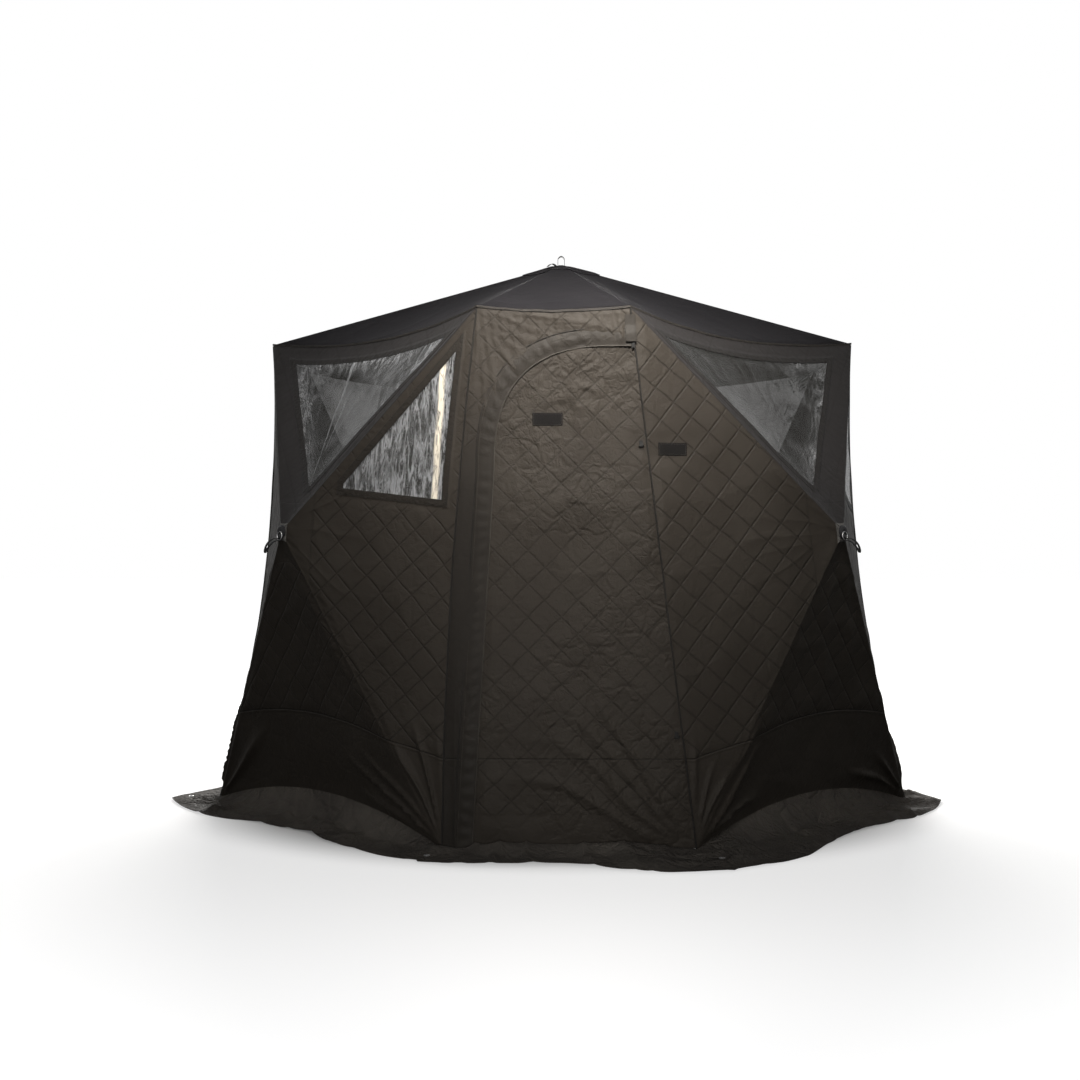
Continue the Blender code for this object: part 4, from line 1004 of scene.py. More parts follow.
def make_finishes():
    base, dusty, cool = (0.0165, 0.0141, 0.0117), (0.0228, 0.0199, 0.0167), (0.0115, 0.0108, 0.0112)
    roof, roof_dusty = (0.0076, 0.0073, 0.0082), (0.0100, 0.0096, 0.0107)
    return {
        "wall": quilted_cloth("quilted_wall_cloth", base, dusty, cool, 1.0, 0.40),
        "door": quilted_cloth("quilted_door_cloth", base, dusty, cool, 0.62, 1.05),
        "header": quilted_cloth("header_cloth", base, dusty, cool, 0.62, 0.45),
        "roof": plain_cloth("roof_cloth", roof, roof_dusty, 0.30, 0.008, 0.66, True),
        "cap": plain_cloth("cap_cloth", roof, roof_dusty, 0.3, 0.008, 0.66),
        "flap": plain_cloth("flap_cloth", (0.0108, 0.0094, 0.0080), (0.0154, 0.0136, 0.0116), 0.45),
        "lining": plain_cloth("lining_cloth", (0.016, 0.0145, 0.0130), (0.024, 0.022, 0.020), 0.2, 0.02),
        "skirt": plain_cloth("skirt_cloth", (0.0340, 0.0310, 0.0285), (0.0600, 0.0550, 0.0490), 2.8, 0.015,
                             0.66),
        "binding": plain_cloth("binding_tape", (0.009, 0.0085, 0.008), (0.014, 0.013, 0.012), 0.3),
        "piping": plain_cloth("piping_cloth", (0.022, 0.020, 0.0175), (0.034, 0.031, 0.0275), 0.3),
        "hem": plain_cloth("hem_cloth", (0.014, 0.0128, 0.0115), (0.020, 0.0182, 0.0165), 0.6),
        "hub_patch": plain_cloth("hub_patch_cloth", (0.050, 0.049, 0.047), (0.085, 0.084, 0.080), 0.6),
        "film": clear_film("clear_window_film"),
        "webbing": woven_tape("black_webbing", (0.005, 0.005, 0.005), (0.016, 0.016, 0.016)),
        "zip_tape": woven_tape("zip_tape_weave", (0.012, 0.012, 0.012), (0.030, 0.029, 0.028), 0.0011),
        "pile": loop_pile("loop_pile"),
        "steel": steel("bright_steel"),
        "nylon": moulded_nylon("black_moulded_nylon", (0.012, 0.012, 0.013)),
        "toggle": moulded_nylon("toggle_nylon", (0.004, 0.004, 0.004), 0.02),
        "rod": glass_rod("black_glass_rod"),
        "jack": heatproof("heatproof_jack_cloth"),
        "thread": woven_tape("sewing_thread", (0.034, 0.031, 0.027), (0.056, 0.052, 0.046), 0.0006),
    }


# Hub walls

def window_sides(edge, shares, flipped):
    """The window's corners as shares: near and far side, each from its head to its toe."""
    length = np.linalg.norm(edge[1] - edge[0])
    half = WINDOW_TIP / 2 / length / (1 - shares["toe"])
    sides = [
        ((shares["near"], shares["head"]), (shares["tip"] - half, shares["toe"])),
        ((shares["far"], shares["head"]), (shares["tip"] + half, shares["toe"])),
    ]
    if flipped:
        sides = [tuple((1 - across, inward) for across, inward in side) for side in sides]
    return sides


def line_in_plane(edge, apex, side):
    """A window side in the facet's plane: a point on it and its direction."""
    start, along, inward, normal = facet_plane(edge, apex)
    ends = [facet_points(edge, apex, across, depth) for across, depth in side]
    flat = [place((end - start).dot(along), (end - start).dot(inward)) for end in ends]
    return flat[0], unit(flat[1] - flat[0]), ends[0], np.cross(unit(ends[1] - ends[0]), normal)


def flat_spot(edge, apex, spot):
    """A spot of a facet, in the facet's plane."""
    start, along, inward, _ = facet_plane(edge, apex)
    offset = facet_points(edge, apex, *spot) - start
    return place(offset.dot(along), offset.dot(inward))


def facet_layer(name, edge, apex, columns, levels, window):
    """A facet's grid, with its cloth coordinates and the distances that its finish reads."""
    start, along, inward, _ = facet_plane(edge, apex)
    across, depth = grid_shares(levels, columns)
    points = facet_points(edge, apex, across, depth)
    offset = points - start
    x, y = offset @ along, offset @ inward
    tip = place((apex - start).dot(along), (apex - start).dot(inward))
    far = np.linalg.norm(edge[1] - edge[0])
    left = np.abs(x * tip[1] - y * tip[0]) / np.linalg.norm(tip)
    lean = tip - place(far, 0)
    right = np.abs((x - far) * lean[1] - y * lean[0]) / np.linalg.norm(lean)
    ridge = np.minimum(left, right) * (across > 0) * (across < 1)
    height = tip[1]
    facts = {"x": x, "y": y, "inward": depth, "ridge": ridge, "win": np.ones_like(x),
             "top": np.full_like(x, float(name == "top")), "fan": y / 0.35, "far": x,
             "patch": np.clip(HUB_PATCH + PATCH_RIM - (1 - depth) * height, 0, None)}
    if name == "top" and window:
        head, toe = ([side[end] for side in window_sides(edge, *window)] for end in (0, 1))
        centre = sum(flat_spot(edge, apex, spot) for spot in toe) / 2
        near, far_side = (math.atan2(*(flat_spot(edge, apex, spot) - centre) * (1, -1)) for spot in head)
        facts["fan"] = (np.arctan2(x - centre[0], centre[1] - y) - far_side) / (near - far_side)
        facts["far"] = np.hypot(x - centre[0], centre[1] - y)
    layer = Layer.of_grid(points, np.stack([x, y], -1), facts)
    if window is None:
        return layer
    shares, flipped = window
    planes, lines = [], []
    for side, mark in zip(window_sides(edge, shares, flipped), (-1, 1)):
        mark = -mark if flipped else mark
        origin, way, at, across_way = line_in_plane(edge, apex, side)
        lines.append((origin, place(way[1], -way[0]) * mark))
        outward = across_way * mark
        if outward.dot(along * mark) < 0:
            outward = -outward
            lines[-1] = (origin, place(-way[1], way[0]) * mark)
        if lines[-1][1][0] * mark < 0:
            lines[-1] = (origin, -lines[-1][1])
        for reach in (0, BINDING, BINDING + STEP):
            planes.append((at + outward * reach, outward))
    layer = layer.cut(planes, 0.012)
    spots = np.stack([layer.facts["x"], layer.facts["y"]], 1)
    aside = [(spots - origin) @ way for origin, way in lines]
    over = (shares["head"] - layer.facts["inward"]) * height
    under = (layer.facts["inward"] - shares["toe"]) * height
    edge_distance = np.maximum.reduce([*aside, over, under])
    layer.facts["win"] = np.where(layer.facts["ridge"] > 0, edge_distance, 1.0)
    return layer


def wall_levels(facets):
    """Rows of a wall's grid: even ones, and those that its windows and their bindings need."""
    shortest = min(np.linalg.norm(apex - edge[0]) for edge, apex in facets.values())
    last = 1 - HUB_HOLE / shortest
    marks = [0.0, last]
    for name, shares in (("top", TOP_WINDOW), ("right", SIDE_WINDOW)):
        edge, apex = facets[name]
        start, _, inward, _ = facet_plane(edge, apex)
        height = (apex - start).dot(inward)
        marks += [shares["head"], shares["toe"], shares["head"] - BINDING / height]
        marks += [shares["head"] - (BINDING + STEP) / height, shares["toe"] + BINDING / height]
    even = np.linspace(0, last, 81)
    marks = np.array(sorted(marks))
    even = even[np.abs(even[:, None] - marks[None, :]).min(1) > 0.004]
    return np.sort(np.concatenate([even, marks]))


def wall_relief(layer, wall, seed):
    """How far the cloth stands out: quilted pads, slack, and folds pulled to its corners."""
    facts, points = layer.facts, layer.points
    x, y, win, ridge = facts["x"], facts["y"], facts["win"], facts["ridge"]
    left, right = (seam_corners(seam)[1] for seam in wall_seams(wall))
    way = unit(right - left)
    share = np.clip((points - left) @ way / np.linalg.norm(right - left), 0, 1)
    rise = points[:, 2] - HEM_HEIGHT - FOOT_LIFT * 4 * share * (1 - share)
    facts["rise"] = facts["low"] = rise
    off_ridge = smooth(0.004, 0.035, ridge)
    off_edge = smooth(0.0, 0.05, facts["inward"])
    quilted = smooth(PLAIN_BAND, PLAIN_BAND + 0.02, rise) * smooth(BINDING + 0.002, BINDING + 0.03, win)
    plain = facts["patch"] > PATCH_RIM
    quilted *= (1 - facts["top"]) * (1 - plain)
    relief = WALL_PAD * quilted * quilt_pad(x, y) * off_ridge
    slack = noise(x * 3.1, y * 3.1, seed) + 0.5 * noise(x * 7.3, y * 7.3, seed + 1)
    relief += WALL_SLACK * slack * off_ridge
    relief += WALL_CREASE * creases(x * 6 + y * 2, y * 5 - x * 2, seed + 2) * quilted * off_ridge
    low = 1 - smooth(PLAIN_BAND - 0.05, PLAIN_BAND + 0.02, rise)
    relief += WALL_FOOT_CREASE * creases(x * 9, y * 3, seed + 3) * low * off_ridge
    for corner, back, other in ((left, way, 0), (right, -way, 1)):
        offset = points - corner
        reach = np.linalg.norm(offset, axis=1)
        turn = np.arctan2(offset[:, 2], offset @ back)
        fold = rays(turn, reach, 11, 2.2, 2.5, 2.2, seed + 4 + other)
        high = 0.42 + 0.16 * noise(turn * 6, 1.0, seed + 6 + other)
        strength = smooth(0.02, 0.10, reach) * (1 - smooth(high - 0.22, high, reach))
        relief += WALL_CORNER_FOLD * fold ** 2.2 * strength * smooth(0.0, 0.02, ridge) * (
            1 - smooth(PLAIN_BAND, PLAIN_BAND + 0.12, rise))
    hub = hub_point(wall)
    reach = np.linalg.norm(points - hub, axis=1)
    around = np.arctan2(points[:, 2] - hub[2], (points - hub) @ way)
    pulled = rays(around, reach, 4.5, 1.6, 3, 4, seed + 8) ** 2.5
    relief += WALL_HUB_FOLD * pulled * smooth(0.05, 0.16, reach) * (
        1 - smooth(0.22, 0.52, reach)) * off_ridge * (1 - facts["top"])
    relief += WALL_PATCH_RISE * plain
    pucker = np.sin((points @ unit(hub - left)) * 230 + 3 * noise(x * 8, y * 8, seed + 9))
    relief += WALL_SEAM_PUCKER * pucker * smooth(0.002, 0.008, ridge) * (1 - smooth(0.014, 0.04, ridge))
    if wall == "front_right":
        middle = facet_points(wall_edges(wall)["left"], hub, *WALL_PATCH_SHARES)
        offset = points - middle
        aside = np.maximum(np.abs(offset @ way) - PATCH_WIDTH / 2, np.abs(offset[:, 2]) - PATCH_HEIGHT / 2)
        relief = relief * mix(0.04, 1.0, smooth(0.006, 0.05, aside))
    relief = relief * off_edge
    relief += WALL_BINDING_RISE * (win <= BINDING + STEP / 2) * (win > -1e-5)
    return relief


def travel_bands(origin, outward, travel):
    """Slices of a popping panel, each with the stretch over which it blends to its hub.

    Each bound has its shares of the travel, and the places where a blend that eases as 3t2 - 2t3 reaches them.
    """
    bounds = ((0.0, 0.05, 0.0, 0.1354), (0.05, 0.2, 0.1354, 0.2871), (0.2, 0.8, 0.2871, 0.7129),
              (0.8, 0.95, 0.7129, 0.8646), (0.95, 1.0, 0.8646, 1.0))
    bands = []
    for low_share, high_share, low_turn, high_turn in bounds:
        low, high = ((TIP_SHARE + share * (1 - TIP_SHARE)) * travel for share in (low_share, high_share))
        length = (high - low) / (high_turn - low_turn)
        start = low - low_turn * length
        bands.append((low, high, origin + outward * start, origin + outward * (start + length)))
    return bands


def follow_hub(layer, name, origin, outward, travel, hub, make):
    """Cuts a popping panel into slices and makes each follow the hub by its share of the travel."""
    layer.keep_normals()
    bands = travel_bands(origin, outward, travel)
    planes = [(origin + outward * high, outward) for _, high, _, _ in bands[:-1]]
    layer = layer.cut(planes)
    height = layer.face_means((layer.points - origin) @ outward)
    for number, (low, high, start, end) in enumerate(bands):
        chosen = np.ones(len(layer.sizes), bool)
        if number:
            chosen &= height >= low
        if number < len(bands) - 1:
            chosen &= height < high
        for piece in make(layer, chosen, f"{name}_{number + 1}"):
            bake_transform(piece, "tent", hub, tuple(start), tuple(end))


def build_hub_wall(wall, finishes):
    """A square wall's cloth and window films, in slices that follow its hub."""
    hub = hub_point(wall)
    facets = {name: (edge, hub) for name, edge in wall_edges(wall).items()}
    levels = wall_levels(facets)
    near_is_left = wall_seams(wall)[0] in ("front_right", "back_left")
    windows = {"top": (TOP_WINDOW, near_is_left), "right": (SIDE_WINDOW, True)}
    columns = {"top": 120, "bottom": 120, "left": 172, "right": 172}
    layers = [facet_layer(name, edge, apex, columns[name], levels, windows.get(name))
              for name, (edge, apex) in facets.items()]
    layer = Layer.joined(layers)
    seed = 11 * (1 + HUB_WALLS.index(wall))
    relief = wall_relief(layer, wall, seed)
    inside = layer.facts["win"] < -1e-5
    x, y = layer.facts["x"], layer.facts["y"]
    film = FILM_SLACK * noise(x * 9, y * 9, seed + 20) + FILM_CREASE * creases(x * 17, y * 11, seed + 21)
    film *= smooth(0.0, 0.03, -layer.facts["win"])
    layer.points = layer.points + layer.normals() * np.where(inside, film, relief)[:, None]
    outward = wall_outward(wall)
    corners = [seam_corners(seam)[index] for seam in wall_seams(wall) for index in (0, 1)]
    origin = sum(corners) / 4
    origin = hub - outward * (hub - origin).dot(outward)
    travel = (hub - origin).dot(outward)

    def make(cut, chosen, name):
        glazed = cut.face_means(cut.facts["win"]) < 0
        made = []
        cloth = cut.part(chosen & ~glazed)
        piece = cloth.piece(name, WALL_CLOTH, [finishes["wall"], finishes["lining"]])
        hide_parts(f"wall_{wall}")
        declare_cloth(piece, True)
        made.append(piece)
        if (chosen & glazed).any():
            glass = cut.part(chosen & glazed)
            pane = glass.piece(f"{name}_film", FILM_THICKNESS, [finishes["film"]], FILM_DEPTH)
            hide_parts(f"window_{wall}_top", f"window_{wall}_side")
            declare_cloth(pane, True)
            made.append(pane)
        return made

    follow_hub(layer, f"cloth_{wall}", origin, outward, travel, f"hub_{wall}", make)


# Roof

def roof_crown():
    return UP * (EAVE_HEIGHT + ROOF_RISE)


def build_roof(finishes):
    """The six facets of the roof, and the cloth cap over its hub."""
    apex = roof_crown()
    levels = np.linspace(0, 1 - ROOF_RING_SHARE, 86)
    layers, caps = [], []
    cap_levels = np.linspace(1 - ROOF_RING_SHARE - ROOF_LAP_SHARE, 0.994, 16)
    for index, wall in enumerate(WALLS):
        right, left, bow = eave_edge(wall)
        edge = (left, right, bow)
        start, along, inward, _ = facet_plane(edge, apex)
        columns = 130 if wall in HUB_WALLS else 50
        for rows, group in ((levels, layers), (cap_levels, caps)):
            across, depth = grid_shares(rows, columns)
            points = facet_points(edge, apex, across, depth)
            offset = points - start
            x, y = offset @ along, offset @ inward
            width = np.linalg.norm(right - left) * (1 - depth)
            ridge = np.minimum(across, 1 - across) * width
            rise = y + PLAIN_BAND - ROOF_SEAM
            facts = {"x": x, "y": y, "inward": depth, "ridge": ridge, "win": np.ones_like(x),
                     "rise": rise, "low": rise, "seed": np.full_like(x, float(index))}
            group.append(Layer.of_grid(points, np.stack([x, y], -1), facts))
    canopy = Layer.joined(layers)
    facts = canopy.facts
    x, y = facts["x"], facts["y"]
    loose = smooth(0.004, 0.05, facts["ridge"]) * smooth(0.0, 0.05, facts["inward"]) * (
        1 - smooth(0.84, 0.88, facts["inward"]))
    relief = ROOF_SLACK * noise(x * 2.6 + facts["seed"] * 9, y * 2.6, 60)
    relief += ROOF_CREASE * creases(x * 7 + facts["seed"] * 9, y * 4, 61)
    canopy.points = canopy.points + canopy.normals() * (relief * loose)[:, None]

    def maker(solid, thickness, used):
        def make(cut, chosen, name):
            if not chosen.any():
                return []
            piece = cut.part(chosen).piece(name, thickness, used)
            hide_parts(solid)
            declare_cloth(piece, True)
            return [piece]
        return make

    origin = UP * EAVE_HEIGHT
    make = maker("roof_canopy", ROOF_CLOTH, [finishes["roof"], finishes["lining"]])
    follow_hub(canopy, "cloth_roof", origin, UP, ROOF_RISE, "hub_roof", make)

    cap = Layer.joined(caps)
    facts = cap.facts
    crown = EAVE_HEIGHT + ROOF_RISE - CAP_DROP
    level = cap.points[:, 2]
    reach = np.hypot(cap.points[:, 0], cap.points[:, 1])
    around = np.arctan2(cap.points[:, 1], cap.points[:, 0])
    cap.points[:, 2] = np.minimum(level, crown - 0.004 * smooth(0.0, 0.12, reach)) + ROOF_CLOTH + CAP_GAP
    pleat = rays(around, reach, 9, 1, 3, 8, 70) ** 1.5
    inside = smooth(0.866, 0.885, facts["inward"])
    cap.points[:, 2] += CAP_PLEAT * pleat * smooth(0.015, 0.05, reach) * inside
    facts["rise"] = facts["low"] = facts["win"] = np.ones(len(reach))

    make = maker("roof_cap", ROOF_CLOTH * 0.8, [finishes["cap"]])
    follow_hub(cap, "cap_roof", origin, UP, ROOF_RISE, "hub_roof", make)


# Front and back walls

def height_share(z):
    """A height as a share of the way from the hem to the eave."""
    return (z - HEM_HEIGHT) / (EAVE_HEIGHT - HEM_HEIGHT)


def front_point(x, z):
    """A point of the door wall's plane."""
    return np.stack(np.broadcast_arrays(x, -mix(FOOT_DEPTH, EAVE_DEPTH, height_share(z)), z), -1)


def hinge_x(z):
    """Where the door's hinge seam lies at a height."""
    eave, foot = seam_corners("front_right")
    return mix(foot[0], eave[0], height_share(z))


def narrow_normal(wall):
    """The direction out of the front or back wall."""
    edges = wall_edges(wall)
    return unit(np.cross(edges["bottom"][1] - edges["bottom"][0], edges["top"][1] - edges["bottom"][0]))


def front_normal():
    return narrow_normal("front")


def door_outline(offset, foot, straight=70, arch=44, header=16):
    """The doorway's edge moved out by offset: heights and places of points up its left and over the arch."""
    spring = hinge_x(SPRING_HEIGHT) - SPRING_WIDTH
    low_x = hinge_x(foot) - DOOR_FOOT_WIDTH - offset
    side = np.linspace(0, 1, straight + 1)[:-1]
    xs = [mix(low_x, spring - offset, side)]
    zs = [mix(foot, SPRING_HEIGHT, side)]
    turn = np.linspace(0, math.pi / 2, arch + 1)
    power = 2 / SQUARENESS
    centre = spring + ARCH_REACH
    xs.append(centre - (ARCH_REACH + offset) * np.maximum(np.cos(turn), 0) ** power)
    zs.append(SPRING_HEIGHT + (DOOR_HEIGHT - SPRING_HEIGHT + offset) * np.sin(turn) ** power)
    top = DOOR_HEIGHT + offset
    if header:
        share = np.linspace(0, 1, header + 1)[1:]
        xs.append(mix(centre, hinge_x(top) - HINGE_GAP, share))
        zs.append(np.full(header, top))
    return np.concatenate(xs), np.concatenate(zs)


def plane_layer(points, weave_x, weave_z, **facts):
    """A grid of cloth, with what its finish reads."""
    return Layer.of_grid(points, np.stack(np.broadcast_arrays(weave_x, weave_z), -1), facts)


def calm_places(x, z):
    """The door lies flat under what is sewn on it."""
    aside = np.abs(x - (hinge_x(DOOR_PATCH[1]) - DOOR_PATCH[0])) - PATCH_WIDTH / 2
    calm = smooth(0.004, 0.04, np.maximum(aside, np.abs(z - DOOR_PATCH[1]) - PATCH_HEIGHT / 2))
    for height in TOGGLE_HEIGHTS.values():
        reach = np.hypot(x - hinge_x(height) + TOGGLE_SETBACK, z - height + 0.008)
        calm = calm * mix(0.12, 1.0, smooth(0.018, 0.05, reach))
    return mix(0.04, 1.0, calm)


def build_door(finishes):
    """The door: quilted above, plain below, crowned over the arch."""
    xs, zs = door_outline(-0.001, SILL, 120, 60, 0)
    across = np.linspace(0, 1, 84)[None, :]
    left, level = xs[:, None], zs[:, None]
    x = mix(left, hinge_x(level) - HINGE_GAP, across)
    points = front_point(x, level * np.ones_like(x))
    span = hinge_x(level) - left
    edge = np.minimum(across * span, (1 - across) * span)
    edge = np.minimum(edge, np.minimum(level - SILL, DOOR_HEIGHT - level + 0.004))
    z = level * np.ones_like(x)
    quilted = smooth(DOOR_PLAIN_BAND, DOOR_PLAIN_BAND + 0.03, z)
    relief = DOOR_PAD * quilt_pad(x, z) * quilted
    relief += DOOR_SLACK * noise(x * 3.4, z * 2.6, 81) + DOOR_FINE_SLACK * noise(x * 8, z * 7, 82)
    relief += DOOR_CREASE * creases(x * 7 + z * 1.5, z * 5 - x * 2, 83) * smooth(0.5, 1.2, z)
    relief += DOOR_FINE_CREASE * creases(x * 15 + z * 4, z * 11 - x * 5, 86) * smooth(0.9, 1.2, z) * (
        1 - smooth(1.5, 1.6, z))
    relief += DOOR_FOOT_CREASE * creases(x * 3.2, z * 6.5, 84) * (1 - smooth(0.16, 0.36, z))
    corner = hinge_x(SILL)
    turn = np.arctan2(z - SILL, corner - x)
    reach = np.hypot(z - SILL, corner - x)
    fold = rays(turn, reach, 12, 2.2, 3, 2.2, 85) ** 2.2
    relief += DOOR_CORNER_FOLD * fold * smooth(0.03, 0.1, reach) * (1 - smooth(0.34, 0.74, reach))
    spot = 1 - smooth(0.02, 0.13, np.hypot(x - 0.07, (z - 1.53) * 0.8))
    relief += DOOR_SPOT_CREASE * creases(x * 16 - z * 5, z * 13 + x * 6, 87) * spot
    relief = relief * smooth(0.0, 0.03, edge) * smooth(SILL, 0.10, level) * calm_places(x, z)
    points = points + front_normal() * relief[..., None]
    layer = plane_layer(points, x, z, rise=z - HEM_HEIGHT, win=np.ones_like(x), ridge=edge * np.ones_like(x),
                        low=z - DOOR_PLAIN_BAND + PLAIN_BAND)
    door = layer.piece("door_panel", WALL_CLOTH, [finishes["door"], finishes["lining"]])
    attach(door, "door", "quilted_polyester", "door")
    declare_cloth(door)


def build_door_wall(finishes):
    """The strip left of the doorway and the header over it, in plain cloth that hangs in folds."""
    straight = 90
    xs, zs = door_outline(ZIP_GAP, HEM_HEIGHT, straight, 60, 20)
    edges = wall_edges("front")
    count = len(xs)
    corner, _ = seam_corners("front_left")
    side_share = height_share(zs[:straight + 1])
    split = straight + 26
    rest = np.linspace(side_share[-1], 1, split - straight + 1)[1:]
    side = edge_points(edges["left"], 1 - np.concatenate([side_share, rest]))
    top = edge_points(edges["top"], 1 - np.linspace(0, 1, count - len(side) + 1)[1:])
    outer = np.concatenate([side, top])
    inner = front_point(xs, zs)
    across = np.linspace(0, 1, 27)[None, :, None]
    points = outer[:, None, :] * (1 - across) + inner[:, None, :] * across
    span = np.linalg.norm(outer - inner, axis=1)[:, None]
    x, z = points[..., 0], points[..., 2]
    edge = np.minimum(across[..., 0] * span, (1 - across[..., 0]) * span + 0.012)
    turn = np.arctan2(corner[2] - z, x - corner[0])
    reach = np.hypot(corner[2] - z, x - corner[0])
    ends = 0.55 + 0.30 * noise(turn * 5, 1.0, 97)
    fold = rays(turn, reach, 15, 2.4, 3, 3, 91) ** 1.6
    relief = HEADER_CORNER_FOLD * fold * smooth(0.02, 0.10, reach) * (1 - smooth(ends - 0.38, ends, reach))
    hang = creases(x * 13 + 0.5 * noise(z * 2, x, 92), z * 0.55, 93)
    relief += HEADER_HANG * hang * (1 - smooth(1.55, 1.70, z) * 0.4)
    gather = (x + 0.15 * (z - 1.7)) * 96 + 3.0 * noise(x * 7, z * 3, 94)
    relief += HEADER_GATHER * (1 - np.abs(np.sin(gather))) ** 1.8 * smooth(1.58, 1.70, z) * (
        0.65 + 0.35 * noise(x * 9, 2.0, 96))
    relief += HEADER_SLACK * noise(x * 8, z * 4, 95)
    points = points + front_normal() * (relief * smooth(0.0, 0.022, edge))[..., None]
    # dark is painted shade: the cloth is darker below 1.55 m, and fully so below 1.15 m
    layer = plane_layer(points, x, z, rise=z - HEM_HEIGHT, win=np.ones_like(x), ridge=edge,
                        low=(z - 1.30) / 6 + PLAIN_BAND, dark=1 - smooth(1.15, 1.55, z))
    wall = layer.piece("door_wall_cloth", WALL_CLOTH, [finishes["header"], finishes["lining"]])
    attach(wall, "tent", "quilted_polyester", "door_wall")
    declare_cloth(wall, True)


def build_storm_flap(finishes):
    """The cloth strip over the zip, with a piped free edge."""
    columns = 14
    rows = []
    for share in np.linspace(1, 0, columns + 1):
        xs, zs = door_outline(FLAP_WIDTH * share, SILL, 150, 90, 30)
        rows.append(front_point(xs, zs))
    points = np.stack(rows, 1)
    length = run_along(points[:, columns // 2])[:, None]
    width = np.linspace(0, 1, columns + 1)[None, :]
    crown = 0.0035 * np.sin(np.pi * np.clip(width * 1.15, 0, 1)) + 0.0028
    pucker = 0.0012 * np.sin(length * 150 + 3 * noise(length * 9, width, 101)) * np.sin(np.pi * width)
    wander = 0.0045 * noise(length * 5.5, width * 1.2, 102) * smooth(0.35, 1.0, width)
    lift = crown + pucker + np.abs(wander)
    points = points + front_normal() * lift[..., None]
    layer = Layer.plain(points, width * FLAP_WIDTH, length)
    flap = layer.piece("storm_flap_cloth", FLAP_CLOTH, [finishes["flap"]])
    attach(flap, "tent", "plain_polyester", "storm_flap")
    declare_cloth(flap)
    path = points[:-1, -1] + front_normal() * 0.0006
    cord = tube("flap_piping", path, FLAP_PIPING, finishes["piping"], 8)
    attach(cord, "tent", "plain_polyester")
    seam = points[:, 1] + front_normal() * 0.0004
    stitches("flap_stitches", seam, *FLAP_STITCH, finishes["thread"])


def build_zip(finishes):
    """The zip's tape under the storm flap, and its teeth."""
    rows = []
    for share in (1.0, 0.66, 0.33, 0.0):
        xs, zs = door_outline(mix(0.0004, ZIP_GAP - 0.0004, share), SILL, 120, 70, 20)
        rows.append(front_point(xs, zs))
    points = np.stack(rows, 1) - front_normal() * 0.0014
    length = run_along(points[:, 1])[:, None]
    layer = Layer.plain(points, np.linspace(0, ZIP_GAP, len(rows))[None, :], length)
    tape = layer.piece("zip_tape", ZIP_TAPE, [finishes["zip_tape"]])
    attach(tape, "tent", "zip_tape", "door_zip")
    middle = (points[:, 1] + points[:, 2]) / 2 + front_normal() * 0.0004
    teeth = repeated("zip_teeth", middle, TOOTH_STEP, TOOTH_SIZE, finishes["nylon"], "block")
    attach(teeth, "tent", "black_nylon")


def build_back_wall(finishes):
    """The narrow back wall, quilted above its plain band."""
    edges = wall_edges("back")
    rows = np.linspace(0, 1, 150)
    across = np.linspace(0, 1, 74)[None, :, None]
    right = edge_points(edges["right"], rows)
    left = edge_points(edges["left"], 1 - rows)
    points = left[:, None, :] * (1 - across) + right[:, None, :] * across
    drop = 4 * across[..., 0] * (1 - across[..., 0]) * (rows[:, None] ** 6) * NARROW_EAVE_DROP
    points[..., 2] -= drop
    span = np.linalg.norm(left - right, axis=1)[:, None]
    x, z = points[..., 0], points[..., 2]
    edge = np.minimum(np.minimum(across[..., 0], 1 - across[..., 0]) * span, np.minimum(z, EAVE_HEIGHT - z))
    calm = smooth(0.17, 0.22, np.maximum(np.abs(x), np.abs(z - JACK_HEIGHT)))
    relief = BACK_PAD * quilt_pad(z, x) * smooth(PLAIN_BAND, PLAIN_BAND + 0.02, z)
    relief = relief + BACK_SLACK * noise(x * 3, z * 3, 111)
    relief += BACK_CREASE * creases(x * 7, z * 5, 112) + BACK_FOOT_CREASE * creases(x * 9, z * 1.4, 113) * (
        1 - smooth(0.2, 0.36, z))
    relief = relief * smooth(0.0, 0.04, edge) * mix(0.08, 1.0, calm)
    points = points + place(0, 1, 0) * relief[..., None]
    layer = plane_layer(points, -x, z, rise=z - HEM_HEIGHT, win=np.ones_like(x), ridge=edge)
    wall = layer.piece("back_wall_cloth", WALL_CLOTH, [finishes["wall"], finishes["lining"]])
    attach(wall, "tent", "quilted_polyester", "wall_back")
    declare_cloth(wall)


# Ribbons, cords and repeated pieces

def tube(name, path, radius, finish, sides=10, closed=False):
    """A round cord along a path of points."""
    path = np.asarray(path, float)
    ahead = headings(path, closed)
    ahead /= np.linalg.norm(ahead, axis=1)[:, None]
    side = np.cross(ahead[0], UP if abs(ahead[0][2]) < 0.9 else place(1, 0, 0))
    rings = []
    turns = circle(sides)
    for point, way in zip(path, ahead):
        side = unit(side - way * side.dot(way))
        up = np.cross(way, side)
        rings.append(point + radius * (np.cos(turns)[:, None] * side + np.sin(turns)[:, None] * up))
    bm = bmesh.new()
    loops = [[bm.verts.new(corner) for corner in ring] for ring in rings]
    pairs = list(zip(loops, loops[1:] + loops[:1])) if closed else list(zip(loops, loops[1:]))
    for low, high in pairs:
        skin(bm, low, high)
    if not closed:
        close_ends(bm, loops)
    obj = from_bmesh(name, bm, finish)
    weave_by_length(obj, path)
    return obj


def weave_by_length(obj, path):
    """Cloth coordinates of a strap or cord: across it, and along its path."""
    mesh = obj.data
    along = run_along(path)
    points = read(mesh.vertices, "co", 3)
    nearest = np.array([np.argmin(((path - point) ** 2).sum(1)) for point in points])
    across = np.linalg.norm(points - path[nearest], axis=1)
    weave = np.stack([across, along[nearest]], 1)[read(mesh.loops, "vertex_index", 1, np.int32)]
    mesh.uv_layers.new(name="weave").data.foreach_set("uv", weave.astype(np.float32).ravel())


